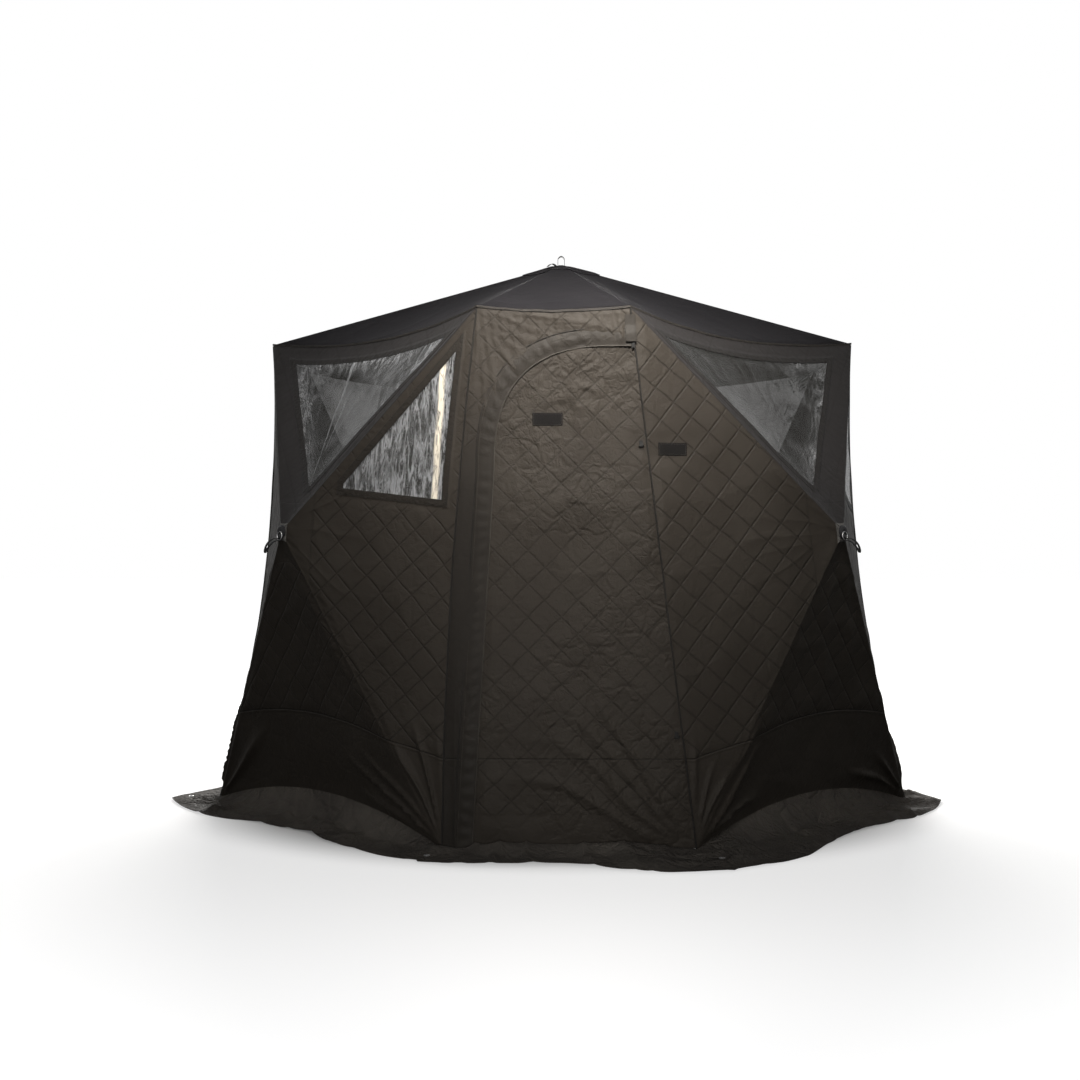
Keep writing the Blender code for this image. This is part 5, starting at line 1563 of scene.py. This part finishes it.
def strap(name, path, across, width, thickness, finish, closed=False):
    """Flat webbing along a path, with slightly rounded edges."""
    path = np.asarray(path, float)
    across = np.broadcast_to(np.asarray(across, float), path.shape)
    lift = np.cross(across, headings(path, closed))
    lift /= np.linalg.norm(lift, axis=1)[:, None]
    shares = ((-0.5, 0.25), (-0.47, 0.5), (-0.2, 0.5), (0.2, 0.5), (0.47, 0.5), (0.5, 0.25),
              (0.5, -0.25), (0.47, -0.5), (0.2, -0.5), (-0.2, -0.5), (-0.47, -0.5), (-0.5, -0.25))
    bm = bmesh.new()
    layer = bm.loops.layers.uv.new("weave")
    rings = [[bm.verts.new(point + side * (width * a) + up * (thickness * b)) for a, b in shares]
             for point, side, up in zip(path, across, lift)]
    along = run_along(path)
    count = len(rings)
    for row in range(count if closed else count - 1):
        low, high = rings[row], rings[(row + 1) % count]
        ends = (along[row], along[row + 1] if row + 1 < count else along[row] + 0.004)
        for k, face in enumerate(skin(bm, low, high)):
            following = (k + 1) % len(shares)
            spots = ((k, 0), (following, 0), (following, 1), (k, 1))
            for loop, (index, end) in zip(face.loops, spots):
                loop[layer].uv = (shares[index][0] * width, ends[end])
    if not closed:
        close_ends(bm, rings)
    return from_bmesh(name, bm, finish, 50)


def repeat_tree():
    """Geometry nodes that set a small block or stitch at even steps along a path."""
    tree = bpy.data.node_groups.new("set_along_path", "GeometryNodeTree")
    face = tree.interface
    sockets = (("Path", "NodeSocketGeometry"), ("Spacing", "NodeSocketFloat"), ("Size", "NodeSocketVector"),
               ("Round", "NodeSocketBool"), ("Finish", "NodeSocketMaterial"))
    for name, kind in sockets:
        face.new_socket(name, in_out="INPUT", socket_type=kind)
    face.new_socket("Pieces", in_out="OUTPUT", socket_type="NodeSocketGeometry")
    nodes, links = tree.nodes, tree.links
    start, end = nodes.new("NodeGroupInput"), nodes.new("NodeGroupOutput")
    curve = nodes.new("GeometryNodeMeshToCurve")
    spaced = nodes.new("GeometryNodeResampleCurve")
    spaced.mode = "LENGTH"
    tangent = nodes.new("GeometryNodeInputTangent")
    normal = nodes.new("GeometryNodeInputNamedAttribute")
    normal.data_type = "FLOAT_VECTOR"
    normal.inputs["Name"].default_value = "face_way"
    turn = nodes.new("FunctionNodeAxesToRotation")
    turn.primary_axis, turn.secondary_axis = "X", "Z"
    block = nodes.new("GeometryNodeMeshCube")
    stitch = nodes.new("GeometryNodeMeshUVSphere")
    stitch.inputs["Segments"].default_value = 6
    stitch.inputs["Rings"].default_value = 4
    stitch.inputs["Radius"].default_value = 0.5
    shaped = nodes.new("GeometryNodeTransform")
    pick = nodes.new("GeometryNodeSwitch")
    spread = nodes.new("GeometryNodeInstanceOnPoints")
    real = nodes.new("GeometryNodeRealizeInstances")
    coat = nodes.new("GeometryNodeSetMaterial")
    joints = (
        (start, "Path", curve, "Mesh"), (curve, "Curve", spaced, "Curve"),
        (start, "Spacing", spaced, "Length"), (tangent, 0, turn, "Primary Axis"),
        (normal, 0, turn, "Secondary Axis"), (start, "Size", block, "Size"),
        (stitch, "Mesh", shaped, "Geometry"), (start, "Size", shaped, "Scale"),
        (start, "Round", pick, "Switch"), (block, "Mesh", pick, "False"),
        (shaped, "Geometry", pick, "True"), (spaced, "Curve", spread, "Points"),
        (pick, 0, spread, "Instance"), (turn, "Rotation", spread, "Rotation"),
        (spread, "Instances", real, "Geometry"), (real, "Geometry", coat, "Geometry"),
        (start, "Finish", coat, "Material"), (coat, "Geometry", end, "Pieces"),
    )
    for giver, given, taker, taken in joints:
        links.new(giver.outputs[given], taker.inputs[taken])
    return tree


REPEAT = repeat_tree()


def repeated(name, path, spacing, size, finish, kind, way=None):
    """Small equal pieces along a path. Size is along it, across it and out of the cloth."""
    path = np.asarray(path, float)
    mesh = bpy.data.meshes.new(name)
    mesh.from_pydata([tuple(point) for point in path], [(k, k + 1) for k in range(len(path) - 1)], [])
    ways = np.broadcast_to(front_normal() if way is None else np.asarray(way, float), path.shape)
    face_way = mesh.attributes.new("face_way", "FLOAT_VECTOR", "POINT")
    face_way.data.foreach_set("vector", ways.astype(np.float32).ravel())
    obj = linked(name, mesh)
    modifier = obj.modifiers.new("set_along_path", "NODES")
    modifier.node_group = REPEAT
    values = {"Spacing": spacing, "Size": size, "Round": kind == "stitch", "Finish": finish}
    for item in REPEAT.interface.items_tree:
        if item.item_type == "SOCKET" and item.in_out == "INPUT" and item.name in values:
            modifier[item.identifier] = values[item.name]
    obj.update_tag()
    mesh = baked(obj)
    if "face_way" in mesh.attributes:
        mesh.attributes.remove(mesh.attributes["face_way"])
    if "weave" not in mesh.uv_layers:
        layer = mesh.uv_layers.new(name="weave")
        spots = read(mesh.vertices, "co", 3)[read(mesh.loops, "vertex_index", 1, np.int32)]
        layer.data.foreach_set("uv", spots[:, [0, 2]].astype(np.float32).ravel())
    return obj


def stitches(name, path, spacing, length, radius, finish, body="tent", way=None):
    """A row of stitches along a path, which rides a body."""
    size = (length, radius * 2, radius * 2)
    attach(repeated(name, path, spacing, size, finish, "stitch", way), body, "webbing")


# Seams and edges

def build_seams(finishes):
    """Piping down the corner seams."""
    shares = np.linspace(0.003, 0.997, 150)
    for seam in SEAMS:
        eave, foot = seam_corners(seam)
        path = edge_points((eave, foot, seam_bow(seam)), shares)
        outward = unit(path.mean(0) * (1, 1, 0))
        wobble = np.array([0.0012 * noise(k * 0.11, 3.0, 120 + SEAMS.index(seam)) for k in range(len(path))])
        path = path + outward * (0.0008 + wobble[:, None])
        cord = tube(f"corner_piping_{seam}", path, CORNER_PIPING, finishes["binding"], 8)
        attach(cord, "tent", "plain_polyester")


def build_eave_edge(finishes):
    """The roof's bound edge round the eave, sewn down."""
    ring = []
    for wall in WALLS:
        right, left, bow = eave_edge(wall)
        ring.append(edge_points((left, right, bow), np.linspace(0, 1, 61)[:-1]))
    ring = np.concatenate(ring)
    outward = ring * (1, 1, 0)
    outward /= np.linalg.norm(outward, axis=1)[:, None]
    index = np.arange(len(ring))
    wave = 0.0016 * noise(index * 0.17, 1.0, 130)[:, None]
    hem = ring + outward * (0.0020 + np.abs(wave)) + UP * (0.0012 + wave)
    edge = strap("eave_binding", hem, UP, *EAVE_BINDING, finishes["hem"], closed=True)
    attach(edge, "tent", "plain_polyester")
    line = ring + outward * (0.0030 + np.abs(wave)) + UP * (0.0002 + wave)
    stitches("eave_stitches", np.concatenate([line, line[:1]]), *EAVE_STITCH, finishes["thread"],
             way=np.concatenate([outward, outward[:1]]))


def build_flap_ends(finishes):
    """The cord beside the storm flap, and the tape and tab that end it over the door."""
    normal = front_normal()
    outline = door_outline(FLAP_WIDTH + 0.004, 0.05, 90, 90, 30)
    seam = [front_point(x, z) + normal * 0.0026 for x, z in zip(*outline)]
    joint = tube("flap_seam", seam, FLAP_SEAM, finishes["binding"], 8)
    end = EAVE_NARROW_HALF - DOOR_WALL_RACK
    drop = np.linspace(0, 1, 14)
    lift = mix(0.0040, 0.0118, smooth(0.35, 0.7, drop))
    path = [front_point(mix(end, end + 0.004, share), mix(1.772, 1.682, share)) + normal * high
            for share, high in zip(drop, lift)]
    tape = strap("flap_end_tape", path, place(1, 0, 0), *FLAP_END_TAPE, finishes["flap"])
    tack = front_point(hinge_x(DOOR_HEIGHT) - 0.006, DOOR_HEIGHT + 0.001) + normal * 0.0105
    tab = strap("flap_end_tab", [tack + UP * 0.008, tack, tack - UP * 0.008], place(1, 0, 0), *FLAP_END_TAB,
                finishes["webbing"])
    for piece in (joint, tape, tab):
        attach(piece, "tent", "plain_polyester")


# Skirt

def skirt_steps(wall):
    """How many steps the skirt takes along a wall."""
    return 100 if wall in HUB_WALLS else 66


def skirt_stations():
    """Places round the walls' feet: where they are, which way the skirt lies, its width, and the run."""
    stations, outwards, widths, marks = [], [], [], []
    run = 0.0
    for wall in WALLS:
        left, right = wall_seams(wall)
        edge = foot_edge(wall)
        count = skirt_steps(wall)
        length = np.linalg.norm(edge[1] - edge[0])
        index = WALLS.index(wall)
        before, here, after = (flat_outward(WALLS[(index + step) % 6]) for step in (-1, 0, 1))
        start, end = unit(here + before), unit(here + after)
        for k in range(count):
            share = k / count
            near, far, turn = share * length, (1 - share) * length, length / 6
            way = here
            if near < turn:
                way = unit(mix(start, here, near / turn))
            elif far < turn:
                way = unit(mix(end, here, far / turn))
            spread = mix(SKIRT_SPREAD[left], SKIRT_SPREAD[right], share)
            width = SKIRT_WIDTH * spread + SKIRT_RIPPLE * math.sin(2 * math.pi * SKIRT_RIPPLES * share)
            width += SKIRT_FRONT_EXTRA * (wall == "front")
            stations.append(edge_points(edge, share))
            outwards.append(way)
            widths.append(width)
            marks.append(run + near)
        run += length
    return np.array(stations), np.array(outwards), np.array(widths)[:, None], np.array(marks)[:, None], run


def skirt_relief(stations, marks, run, across, reach, widths):
    """Heights of the skirt over the ground, with its folds, and how far it sways along them."""
    fall = np.clip(1 - reach / (0.3 * widths), 0, 1)
    level = mix(SKIRT_REST, stations[:, 2:3] + SKIRT_SEAM_LIFT, fall ** 1.25)
    angle = marks / run * 2 * math.pi
    x_foot, y_foot = stations[:, 0:1], stations[:, 1:2]
    before_door = smooth(-0.34, -0.15, x_foot) * (1 - smooth(0.22, 0.41, x_foot)) * (y_foot < FRONT_FOOT)
    fold = creases(4.5 * np.cos(angle) * 3 + 9 + reach * 2.2, 4.5 * np.sin(angle) * 3 + reach * 1.5, 141)
    from_start = np.minimum(marks, run - marks)
    waves = np.maximum(noise(marks * 5.2, reach * 3.2, 142) * smooth(0.02, 0.25, from_start), 0)
    loose = smooth(0.02, 0.28, across) * (1 - 0.75 * smooth(0.78, 1.0, across))
    height = level + (SKIRT_FOLD * fold + SKIRT_WAVE * waves) * loose
    height += SKIRT_CREASE * creases(marks * 9, reach * 15, 143) * loose * (1 - 0.9 * before_door)
    rolls = (1 - np.abs(np.sin(reach * 34 + 3.5 * noise(marks * 2.6, 0.2, 147)))) ** 1.8
    gathered = smooth(-0.1, 0.4, noise(marks * 3.4, 1.0, 148))
    height += SKIRT_ROLL * rolls * loose * gathered * (1 - before_door)
    lapped = smooth(0.0, 0.028, reach) * (1 - 0.8 * smooth(0.032, 0.13, reach))
    along_door = smooth(0.426, 0.418, np.abs(x_foot)) * (y_foot < FRONT_FOOT)
    height += (along_door * 0.010 + before_door * (0.020 + 0.005 * noise(marks * 7, 1.0, 146))) * lapped
    curl = np.maximum(noise(marks * 3.6, 0.5, 145), 0) + 0.9 * smooth(-0.42, -0.3, x_foot) * (
        1 - smooth(0.0, 0.2, x_foot)) * (y_foot < FRONT_FOOT)
    height += SKIRT_CURL * curl * smooth(0.72, 1.0, across) ** 2
    sway = SKIRT_SWAY * noise(marks * 6.5, 0.3, 144) * across ** 2 * smooth(0.02, 0.2, from_start)
    return height, sway


def build_skirt(finishes):
    """The ground skirt: sewn to the walls' feet, spread on the ground in loose folds."""
    stations, outwards, widths, marks, run = skirt_stations()
    across = np.linspace(0, 1, 27)[None, :]
    reach = widths * across
    height, sway = skirt_relief(stations, marks, run, across, reach, widths)
    points = stations[:, None, :] * (1, 1, 0) + outwards[:, None, :] * (reach + sway)[..., None]
    points[..., 2] = height
    points = np.concatenate([points, points[:1]])
    marks_loop = np.concatenate([marks, [[run]]])
    reach_loop = np.concatenate([reach, reach[:1]])
    marks_loop, reach_loop = np.broadcast_arrays(marks_loop, reach_loop)
    # Rows run in towards the wall, so that the faces turn up
    layer = Layer.plain(points.transpose(1, 0, 2)[::-1], marks_loop.T[::-1], reach_loop.T[::-1])
    layer = Layer.joined([layer])
    skirt = layer.piece("skirt_cloth", SKIRT_CLOTH, [finishes["skirt"]], floor=0.0)
    attach(skirt, "tent", "plain_polyester", "ground_skirt")
    # An eyelet at each corner seam, part of the way out across the skirt
    for number, seam in enumerate(SEAMS):
        index = sum(skirt_steps(wall) for wall in WALLS[:number])
        width = float(widths[index, 0])
        spot = stations[index] * (1, 1, 0) + outwards[index] * (width * EYELET_SHARE)
        nearest = np.argmin(np.hypot(layer.points[:, 0] - spot[0], layer.points[:, 1] - spot[1]))
        top = layer.points[nearest, 2] + EYELET_LIFT
        eyelet(f"eyelet_{seam}", place(spot[0], spot[1], top), finishes)


def eyelet(name, centre, finishes):
    """A rolled steel eyelet with a dark hole."""
    profile = ((0.0056, -0.0016), (0.0054, 0.0004), (0.0062, 0.0011), (0.0078, 0.0013), (0.0096, 0.0008),
               (0.0110, -0.0002), (0.0108, -0.0012), (0.0080, -0.0016))
    bm = bmesh.new()
    turns = circle(32)
    rings = [[bm.verts.new(centre + place(r * math.cos(a), r * math.sin(a), z)) for r, z in profile]
             for a in turns]
    for ring, following in zip(rings, rings[1:] + rings[:1]):
        skin(bm, ring, following)
    rim = from_bmesh(name, bm, finishes["steel"])
    attach(rim, "tent", "steel_wire")


# Fittings

def turned(name, profile, centre, axis, finish, sides=28):
    """A body turned about an axis from (radius, height) points, closed at both ends."""
    axis = unit(np.asarray(axis, float))
    side = unit(np.cross(axis, UP if abs(axis[2]) < 0.9 else place(1, 0, 0)))
    other = np.cross(axis, side)
    bm = bmesh.new()
    turns = circle(sides)
    rings = [[bm.verts.new(centre + axis * height + radius * (math.cos(a) * side + math.sin(a) * other))
              for a in turns] for radius, height in profile]
    for low, high in zip(rings, rings[1:]):
        skin(bm, low, high)
    close_ends(bm, rings)
    obj = from_bmesh(name, bm, finish)
    obj.data.uv_layers.new(name="weave")
    return obj


def pull_directions(wall):
    """Down and across a wall's face."""
    outward = wall_outward(wall)
    down = unit(outward * outward[2] - UP)
    return down, np.cross(outward, down)


def build_pull_loop(wall, finishes):
    """The steel ring in the hub's staple, and the webbing loop that stands out from it."""
    outward = wall_outward(wall)
    down, across = pull_directions(wall)
    pivot = hub_point(wall) + outward * (CAP_THICKNESS - HUB_CAP_DROP + RING_LIFT)
    turns = circle(40)[:, None]
    ring = pivot + down * RING_RADIUS + RING_RADIUS * (np.cos(turns) * down + np.sin(turns) * across)
    wire = tube(f"pull_ring_{wall}", ring, RING_WIRE, finishes["steel"], 12, closed=True)
    attach(wire, f"pull_loop_{wall}", "steel_wire")
    start = pivot + down * (2 * RING_RADIUS - RING_WIRE)
    steps = np.linspace(0, 1, LOOP_STEPS)
    lean = np.radians(mix(96.0, 12.0, steps ** 0.8))
    stride = LOOP_LENGTH / (LOOP_STEPS - 1)
    heading = np.cos(lean)[:, None] * down + np.sin(lean)[:, None] * outward
    spine = start + np.cumsum(heading, 0) * stride * 0.92
    lift = np.cos(lean)[:, None] * outward - np.sin(lean)[:, None] * down
    gap = 0.0022 + 0.0035 * np.sin(np.pi * steps) ** 0.7
    front, back = spine + lift * gap[:, None], spine - lift * gap[:, None]
    tip = spine[-1] + heading[-1] * 0.004
    root = start - heading[0] * 0.0024
    path = np.concatenate([[root], front, [tip], back[::-1]])
    loop = strap(f"pull_strap_{wall}", path, across, *PULL_STRAP, finishes["webbing"], closed=True)
    attach(loop, f"pull_loop_{wall}", "webbing", f"pull_loop_{wall}")


def build_hub_patch(wall, finishes):
    """The pale patch that stiffens a wall's point round its hub, with a turned rim on the cap."""
    hub = hub_point(wall)
    layers = []
    for edge in wall_edges(wall).values():
        shortest = np.linalg.norm(hub - edge[0])
        rows = np.linspace(1 - 0.040 / shortest, 1 - 0.0215 / shortest, 7)
        across, depth = grid_shares(rows, 16)
        points = facet_points(edge, hub, across, depth)
        layers.append(Layer.plain(points, across * 0.1, depth))
    layer = Layer.joined(layers)
    reach = np.linalg.norm(layer.points - hub, axis=1)
    ripple = 0.0009 * noise(layer.points[:, 2] * 90, layer.points[:, 0] * 90, 151)
    lift = 0.0034 + ripple + 0.001 * smooth(0.05, 0.03, reach)
    layer.points = layer.points + layer.normals() * lift[:, None]
    patch = layer.piece(f"hub_patch_{wall}", HUB_PATCH_CLOTH, [finishes["hub_patch"]])
    attach(patch, f"hub_{wall}", "plain_polyester")
    outward = wall_outward(wall)
    profile = ((0.0165, -0.0004), (0.0185, 0.0004), (0.0180, 0.0016), (0.0150, 0.0021), (0.0120, 0.0015))
    rim = turned(f"hub_cap_rim_{wall}", profile, hub + outward * (CAP_THICKNESS - HUB_CAP_DROP), outward,
                 finishes["nylon"])
    attach(rim, f"hub_{wall}", "black_nylon")


def build_toggle(level, finishes):
    """A tie-back: a folded webbing tab with a short toggle sewn in its end."""
    height = TOGGLE_HEIGHTS[level]
    normal = front_normal()
    eave, foot = seam_corners("front_right")
    up = unit(eave - foot)
    across = np.cross(up, normal)
    pivot = front_point(hinge_x(height) - TOGGLE_SETBACK, height) + normal * 0.0014
    drop = TAB_LENGTH * 0.8
    centre = pivot - up * drop + normal * (TOGGLE_RADIUS + 0.0004)
    radius = TOGGLE_RADIUS + 0.0010
    turns = np.linspace(-math.pi * 0.5, math.pi * 0.95, 16)[:, None]
    wrap = centre + radius * (np.sin(turns) * normal - np.cos(turns) * up)
    down = [pivot + up * 0.0038, pivot, pivot - up * drop * 0.5, pivot - up * drop * 0.8]
    back = [pivot - up * drop * 0.55 + normal * 0.0030, pivot + up * 0.0034 + normal * 0.0022]
    path = np.concatenate([down, wrap, back])
    tab = strap(f"toggle_tab_{level}", path, across, *TOGGLE_TAB, finishes["webbing"])
    half = TOGGLE_LENGTH / 2
    ends = ((0.0031, half * 0.6), (0.0033, half * 0.85), (0.0030, half * 0.97), (0.0014, half))
    profile = (*((radius, -along) for radius, along in reversed(ends)), (0.0029, 0.0), *ends)
    bar = turned(f"toggle_bar_{level}", profile, centre, across, finishes["toggle"])
    for piece in (tab, bar):
        attach(piece, f"toggle_{level}", "webbing" if piece is tab else "black_nylon", f"toggle_{level}")


def build_hook_patch(name, body, centre, across, up, normal, finishes):
    """A rectangle of loop pile, sewn down inside its edge."""
    columns = np.linspace(-0.5, 0.5, 41)[None, :]
    rows = np.linspace(-0.5, 0.5, 19)[:, None]
    x, y = np.broadcast_arrays(columns * PATCH_WIDTH, rows * PATCH_HEIGHT)
    border = np.minimum(PATCH_WIDTH / 2 - np.abs(x), PATCH_HEIGHT / 2 - np.abs(y))
    lift = 0.0011 + 0.0012 * smooth(0.0, 0.003, border)
    lift = lift - 0.0006 * smooth(0.0012, 0.0, np.abs(border - PATCH_SEAM))
    lift = lift + 0.0005 * noise(x * 60, y * 60, 161)
    points = centre + x[..., None] * across + y[..., None] * up + lift[..., None] * normal
    patch = Layer.plain(points, x, y).piece(name, HOOK_PATCH_CLOTH, [finishes["pile"]])
    attach(patch, body, "webbing", name.replace("_pile", ""))
    half_width, half_height = PATCH_WIDTH / 2 - PATCH_SEAM, PATCH_HEIGHT / 2 - PATCH_SEAM
    path = rectangle(centre, across, up, half_width, half_height, normal * 0.0022)
    stitches(name + "_stitches", path, *PATCH_STITCH, finishes["thread"], body, normal)


def build_hook_patches(finishes):
    """The patch on the door, and the one on the wall beside it."""
    normal = front_normal()
    up = unit(UP - normal * UP.dot(normal))
    centre = front_point(hinge_x(DOOR_PATCH[1]) - DOOR_PATCH[0], DOOR_PATCH[1])
    build_hook_patch("hook_patch_door_pile", "door", centre, np.cross(up, normal), up, normal, finishes)
    edge, hub = wall_edges("front_right")["left"], hub_point("front_right")
    near = [facet_points(edge, hub, WALL_PATCH_SHARES[0] + a, WALL_PATCH_SHARES[1] + b)
            for a, b in ((-0.01, 0), (0.01, 0), (0, -0.01), (0, 0.01))]
    normal = unit(np.cross(near[1] - near[0], near[3] - near[2]))
    up = unit(UP - normal * UP.dot(normal))
    centre = facet_points(edge, hub, *WALL_PATCH_SHARES)
    build_hook_patch("hook_patch_wall_pile", "tent", centre, np.cross(up, normal), up, normal, finishes)


def build_roof_handle(finishes):
    """The webbing handle on the cap, with its flat feet and its loose tail."""
    crown = roof_crown() - UP * CAP_DROP
    half, arch = HANDLE_HALF_SPAN, HANDLE_HEIGHT - HANDLE_HALF_SPAN
    turns = np.linspace(math.pi, 0, 19)
    slope = (ROOF_RISE * ROOF_RING_SHARE - CAP_DROP - ROOF_CLOTH - CAP_GAP) / (
        ROOF_RING_SHARE * EAVE_SIDE_REACH)
    sides = [(-half - HANDLE_FOOT, 0.0016), (-half - HANDLE_FOOT * 0.5, 0.0016), (-half - 0.002, 0.0018),
             (-half, 0.004), (-half, arch * 0.5)]
    sides += [(half * math.cos(turn), arch + half * math.sin(turn)) for turn in turns]
    sides += [(half, arch * 0.5), (half, 0.004), (half + 0.002, 0.0018), (half + HANDLE_FOOT * 0.5, 0.0016),
              (half + HANDLE_FOOT, 0.0016)]
    path = [crown + place(x, 0, z + 0.0008 - abs(x) * slope) for x, z in sides]
    handle = strap("handle_webbing", path, place(0, 1, 0), *HANDLE_STRAP, finishes["webbing"])
    attach(handle, "hub_roof", "webbing", "roof_handle")
    tail = [crown + place(-half - 0.006 - 0.034 * t, -0.012 - 0.03 * t, 0.0045 - (0.025 + 0.034 * t) * slope
                          + 0.010 * math.sin(math.pi * t)) for t in np.linspace(0, 1, 12)]
    strip = strap("handle_tail", tail, unit(place(-0.6, 0.7, 0)), *HANDLE_TAIL, finishes["webbing"])
    attach(strip, "hub_roof", "webbing")


def build_stove_jack(finishes):
    """The heatproof panel in the back wall, its sewn edge, and the rain flap over it."""
    normal = narrow_normal("back")
    up = unit(UP - normal * UP.dot(normal))
    across = np.cross(up, normal)

    def level(height):
        return place(0, mix(FOOT_DEPTH, EAVE_DEPTH, height_share(height)), height)

    x, y = np.meshgrid(np.linspace(-0.5, 0.5, 61), np.linspace(-0.5, 0.5, 61))
    x, y = x * JACK_SIZE, y * JACK_SIZE
    border = JACK_SIZE / 2 - np.maximum(np.abs(x), np.abs(y))
    lift = 0.0008 + 0.0014 * smooth(0.0, 0.004, border) + 0.0005 * noise(x * 11, y * 11, 171)
    points = level(JACK_HEIGHT) + x[..., None] * across + y[..., None] * up + lift[..., None] * normal
    panel = Layer.plain(points, x, y).piece("heatproof_panel", PANEL_CLOTH, [finishes["jack"]])
    attach(panel, "tent", "heatproof_cloth", "stove_jack")
    half = JACK_SIZE / 2 - 0.008
    for number, reach in enumerate((half, half - 0.012), 1):
        path = rectangle(level(JACK_HEIGHT), across, up, reach, reach, normal * 0.0026)
        stitches(f"panel_stitches_{number}", path, *PANEL_STITCH, finishes["thread"], way=normal)
    hinge = level(JACK_HEIGHT + JACK_FLAP_SIZE / 2) + normal * 0.0051
    x, y = np.meshgrid(np.linspace(-0.5, 0.5, 67), np.linspace(-1, 0, 67))
    x, y = x * JACK_FLAP_SIZE, y * JACK_FLAP_SIZE
    border = np.minimum(JACK_FLAP_SIZE / 2 - np.abs(x), y + JACK_FLAP_SIZE)
    hang = smooth(0.0, -JACK_FLAP_SIZE * 0.6, y)
    loose = 0.0045 + 0.0045 * noise(x * 9, y * 2.2, 172) + 0.0020 * creases(x * 14, y * 4, 173)
    lift = 0.0002 + hang * loose + 0.0012 * smooth(0.016, 0.013, border)
    points = hinge + x[..., None] * across + y[..., None] * up + lift[..., None] * normal
    flap = Layer.plain(points, x, y).piece("rain_flap_cloth", FLAP_CLOTH, [finishes["flap"]])
    attach(flap, "jack_flap", "plain_polyester", "jack_flap")


# Camera, light and floor

def build_studio():
    """The photograph's camera, soft lights, and a pale floor that fades to white."""
    scene = bpy.context.scene
    camera = bpy.data.objects.new("photo_camera", bpy.data.cameras.new("photo_camera"))
    scene.collection.objects.link(camera)
    camera.location = CAMERA_PLACE
    camera.rotation_euler = (math.radians(90), 0, math.radians(CAMERA_TURN))
    camera.data.sensor_width = CAMERA_SENSOR
    camera.data.lens = CAMERA_LENS
    scene.camera = camera
    scene.view_settings.view_transform = "Standard"
    for name, spot, target, size, power, tint, spread in LIGHTS:
        lamp = bpy.data.lights.new(name, "AREA")
        lamp.shape = "DISK"
        lamp.size = size
        lamp.energy = power
        lamp.color = tint
        lamp.spread = math.radians(spread)
        obj = bpy.data.objects.new(name, lamp)
        obj.location = spot
        obj.rotation_euler = (Vector(target) - Vector(spot)).to_track_quat("-Z", "Y").to_euler()
        scene.collection.objects.link(obj)
    world = bpy.data.worlds.new("plain_studio")
    scene.world = world
    world.use_nodes = True
    nodes, links = world.node_tree.nodes, world.node_tree.links
    nodes.clear()
    path = nodes.new("ShaderNodeLightPath")
    clear = path.outputs["Is Camera Ray"]
    for ray in ("Is Glossy Ray", "Is Transmission Ray"):
        either = nodes.new("ShaderNodeMath")
        either.operation = "MAXIMUM"
        links.new(clear, either.inputs[0])
        links.new(path.outputs[ray], either.inputs[1])
        clear = either.outputs[0]
    strength = nodes.new("ShaderNodeMapRange")
    strength.inputs["To Min"].default_value = WORLD_GLOW
    strength.inputs["To Max"].default_value = 1.0
    links.new(clear, strength.inputs["Value"])
    glow = nodes.new("ShaderNodeBackground")
    glow.inputs["Color"].default_value = (1.0, 1.0, 1.0, 1.0)
    links.new(strength.outputs[0], glow.inputs["Strength"])
    out = nodes.new("ShaderNodeOutputWorld")
    links.new(glow.outputs[0], out.inputs["Surface"])

    bm = bmesh.new()
    bmesh.ops.create_grid(bm, x_segments=1, y_segments=1, size=FLOOR_HALF_SIZE)
    floor_finish = Finish("pale_floor", 0.9, 0.0, 0.1)
    seen = floor_finish.add("ShaderNodeLightPath", {}, {}).outputs["Is Camera Ray"]
    reach = floor_finish.distance(floor_finish.stretched(floor_finish.places(), (0.8, 1.0, 0.0)))
    # Painted shadow: for the camera the floor glows dark under the tent, darker in a ring round its foot, and
    # white further out
    glow_with_painted_shadow = floor_finish.blend(reach.ramp(0.85, 1.25), (0.02, 0.02, 0.02), (0.66, 0.66, 0.66))
    glow_with_painted_shadow = floor_finish.blend(reach.ramp(1.2, 3.6), glow_with_painted_shadow, (1.0, 1.0, 1.0))
    floor_finish.set("Base Color", floor_finish.blend(seen, (0.08, 0.08, 0.08), (0.45, 0.45, 0.45)))
    floor_finish.set("Emission Color", floor_finish.blend(seen, (0, 0, 0), glow_with_painted_shadow))
    floor_finish.shader.inputs["Emission Strength"].default_value = 1.0
    floor = from_bmesh("floor", bm, floor_finish.material)


def dress_solids(finishes):
    """Better finishes on the hard solids that stay."""
    for name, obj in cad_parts.items():
        finish = None
        if name.startswith("hub_"):
            finish = finishes["nylon"]
        elif name.startswith("pole_"):
            finish = finishes["rod"]
        elif name == "zip_slider":
            finish = finishes["steel"]
        if finish:
            for slot in obj.material_slots:
                slot.material = finish


def clear_start_scene():
    for name in ("Cube", "Light", "Camera"):
        if name in bpy.data.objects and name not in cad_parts:
            bpy.data.objects.remove(bpy.data.objects[name], do_unlink=True)


def main():
    clear_start_scene()
    finishes = make_finishes()
    build_studio()
    for wall in HUB_WALLS:
        build_hub_wall(wall, finishes)
    build_roof(finishes)
    build_back_wall(finishes)
    build_door_wall(finishes)
    build_door(finishes)
    build_storm_flap(finishes)
    build_zip(finishes)
    build_seams(finishes)
    build_eave_edge(finishes)
    build_flap_ends(finishes)
    build_skirt(finishes)
    for wall in HUB_WALLS:
        build_pull_loop(wall, finishes)
        build_hub_patch(wall, finishes)
    for level in TOGGLE_HEIGHTS:
        build_toggle(level, finishes)
    build_hook_patches(finishes)
    build_roof_handle(finishes)
    build_stove_jack(finishes)
    dress_solids(finishes)


main()
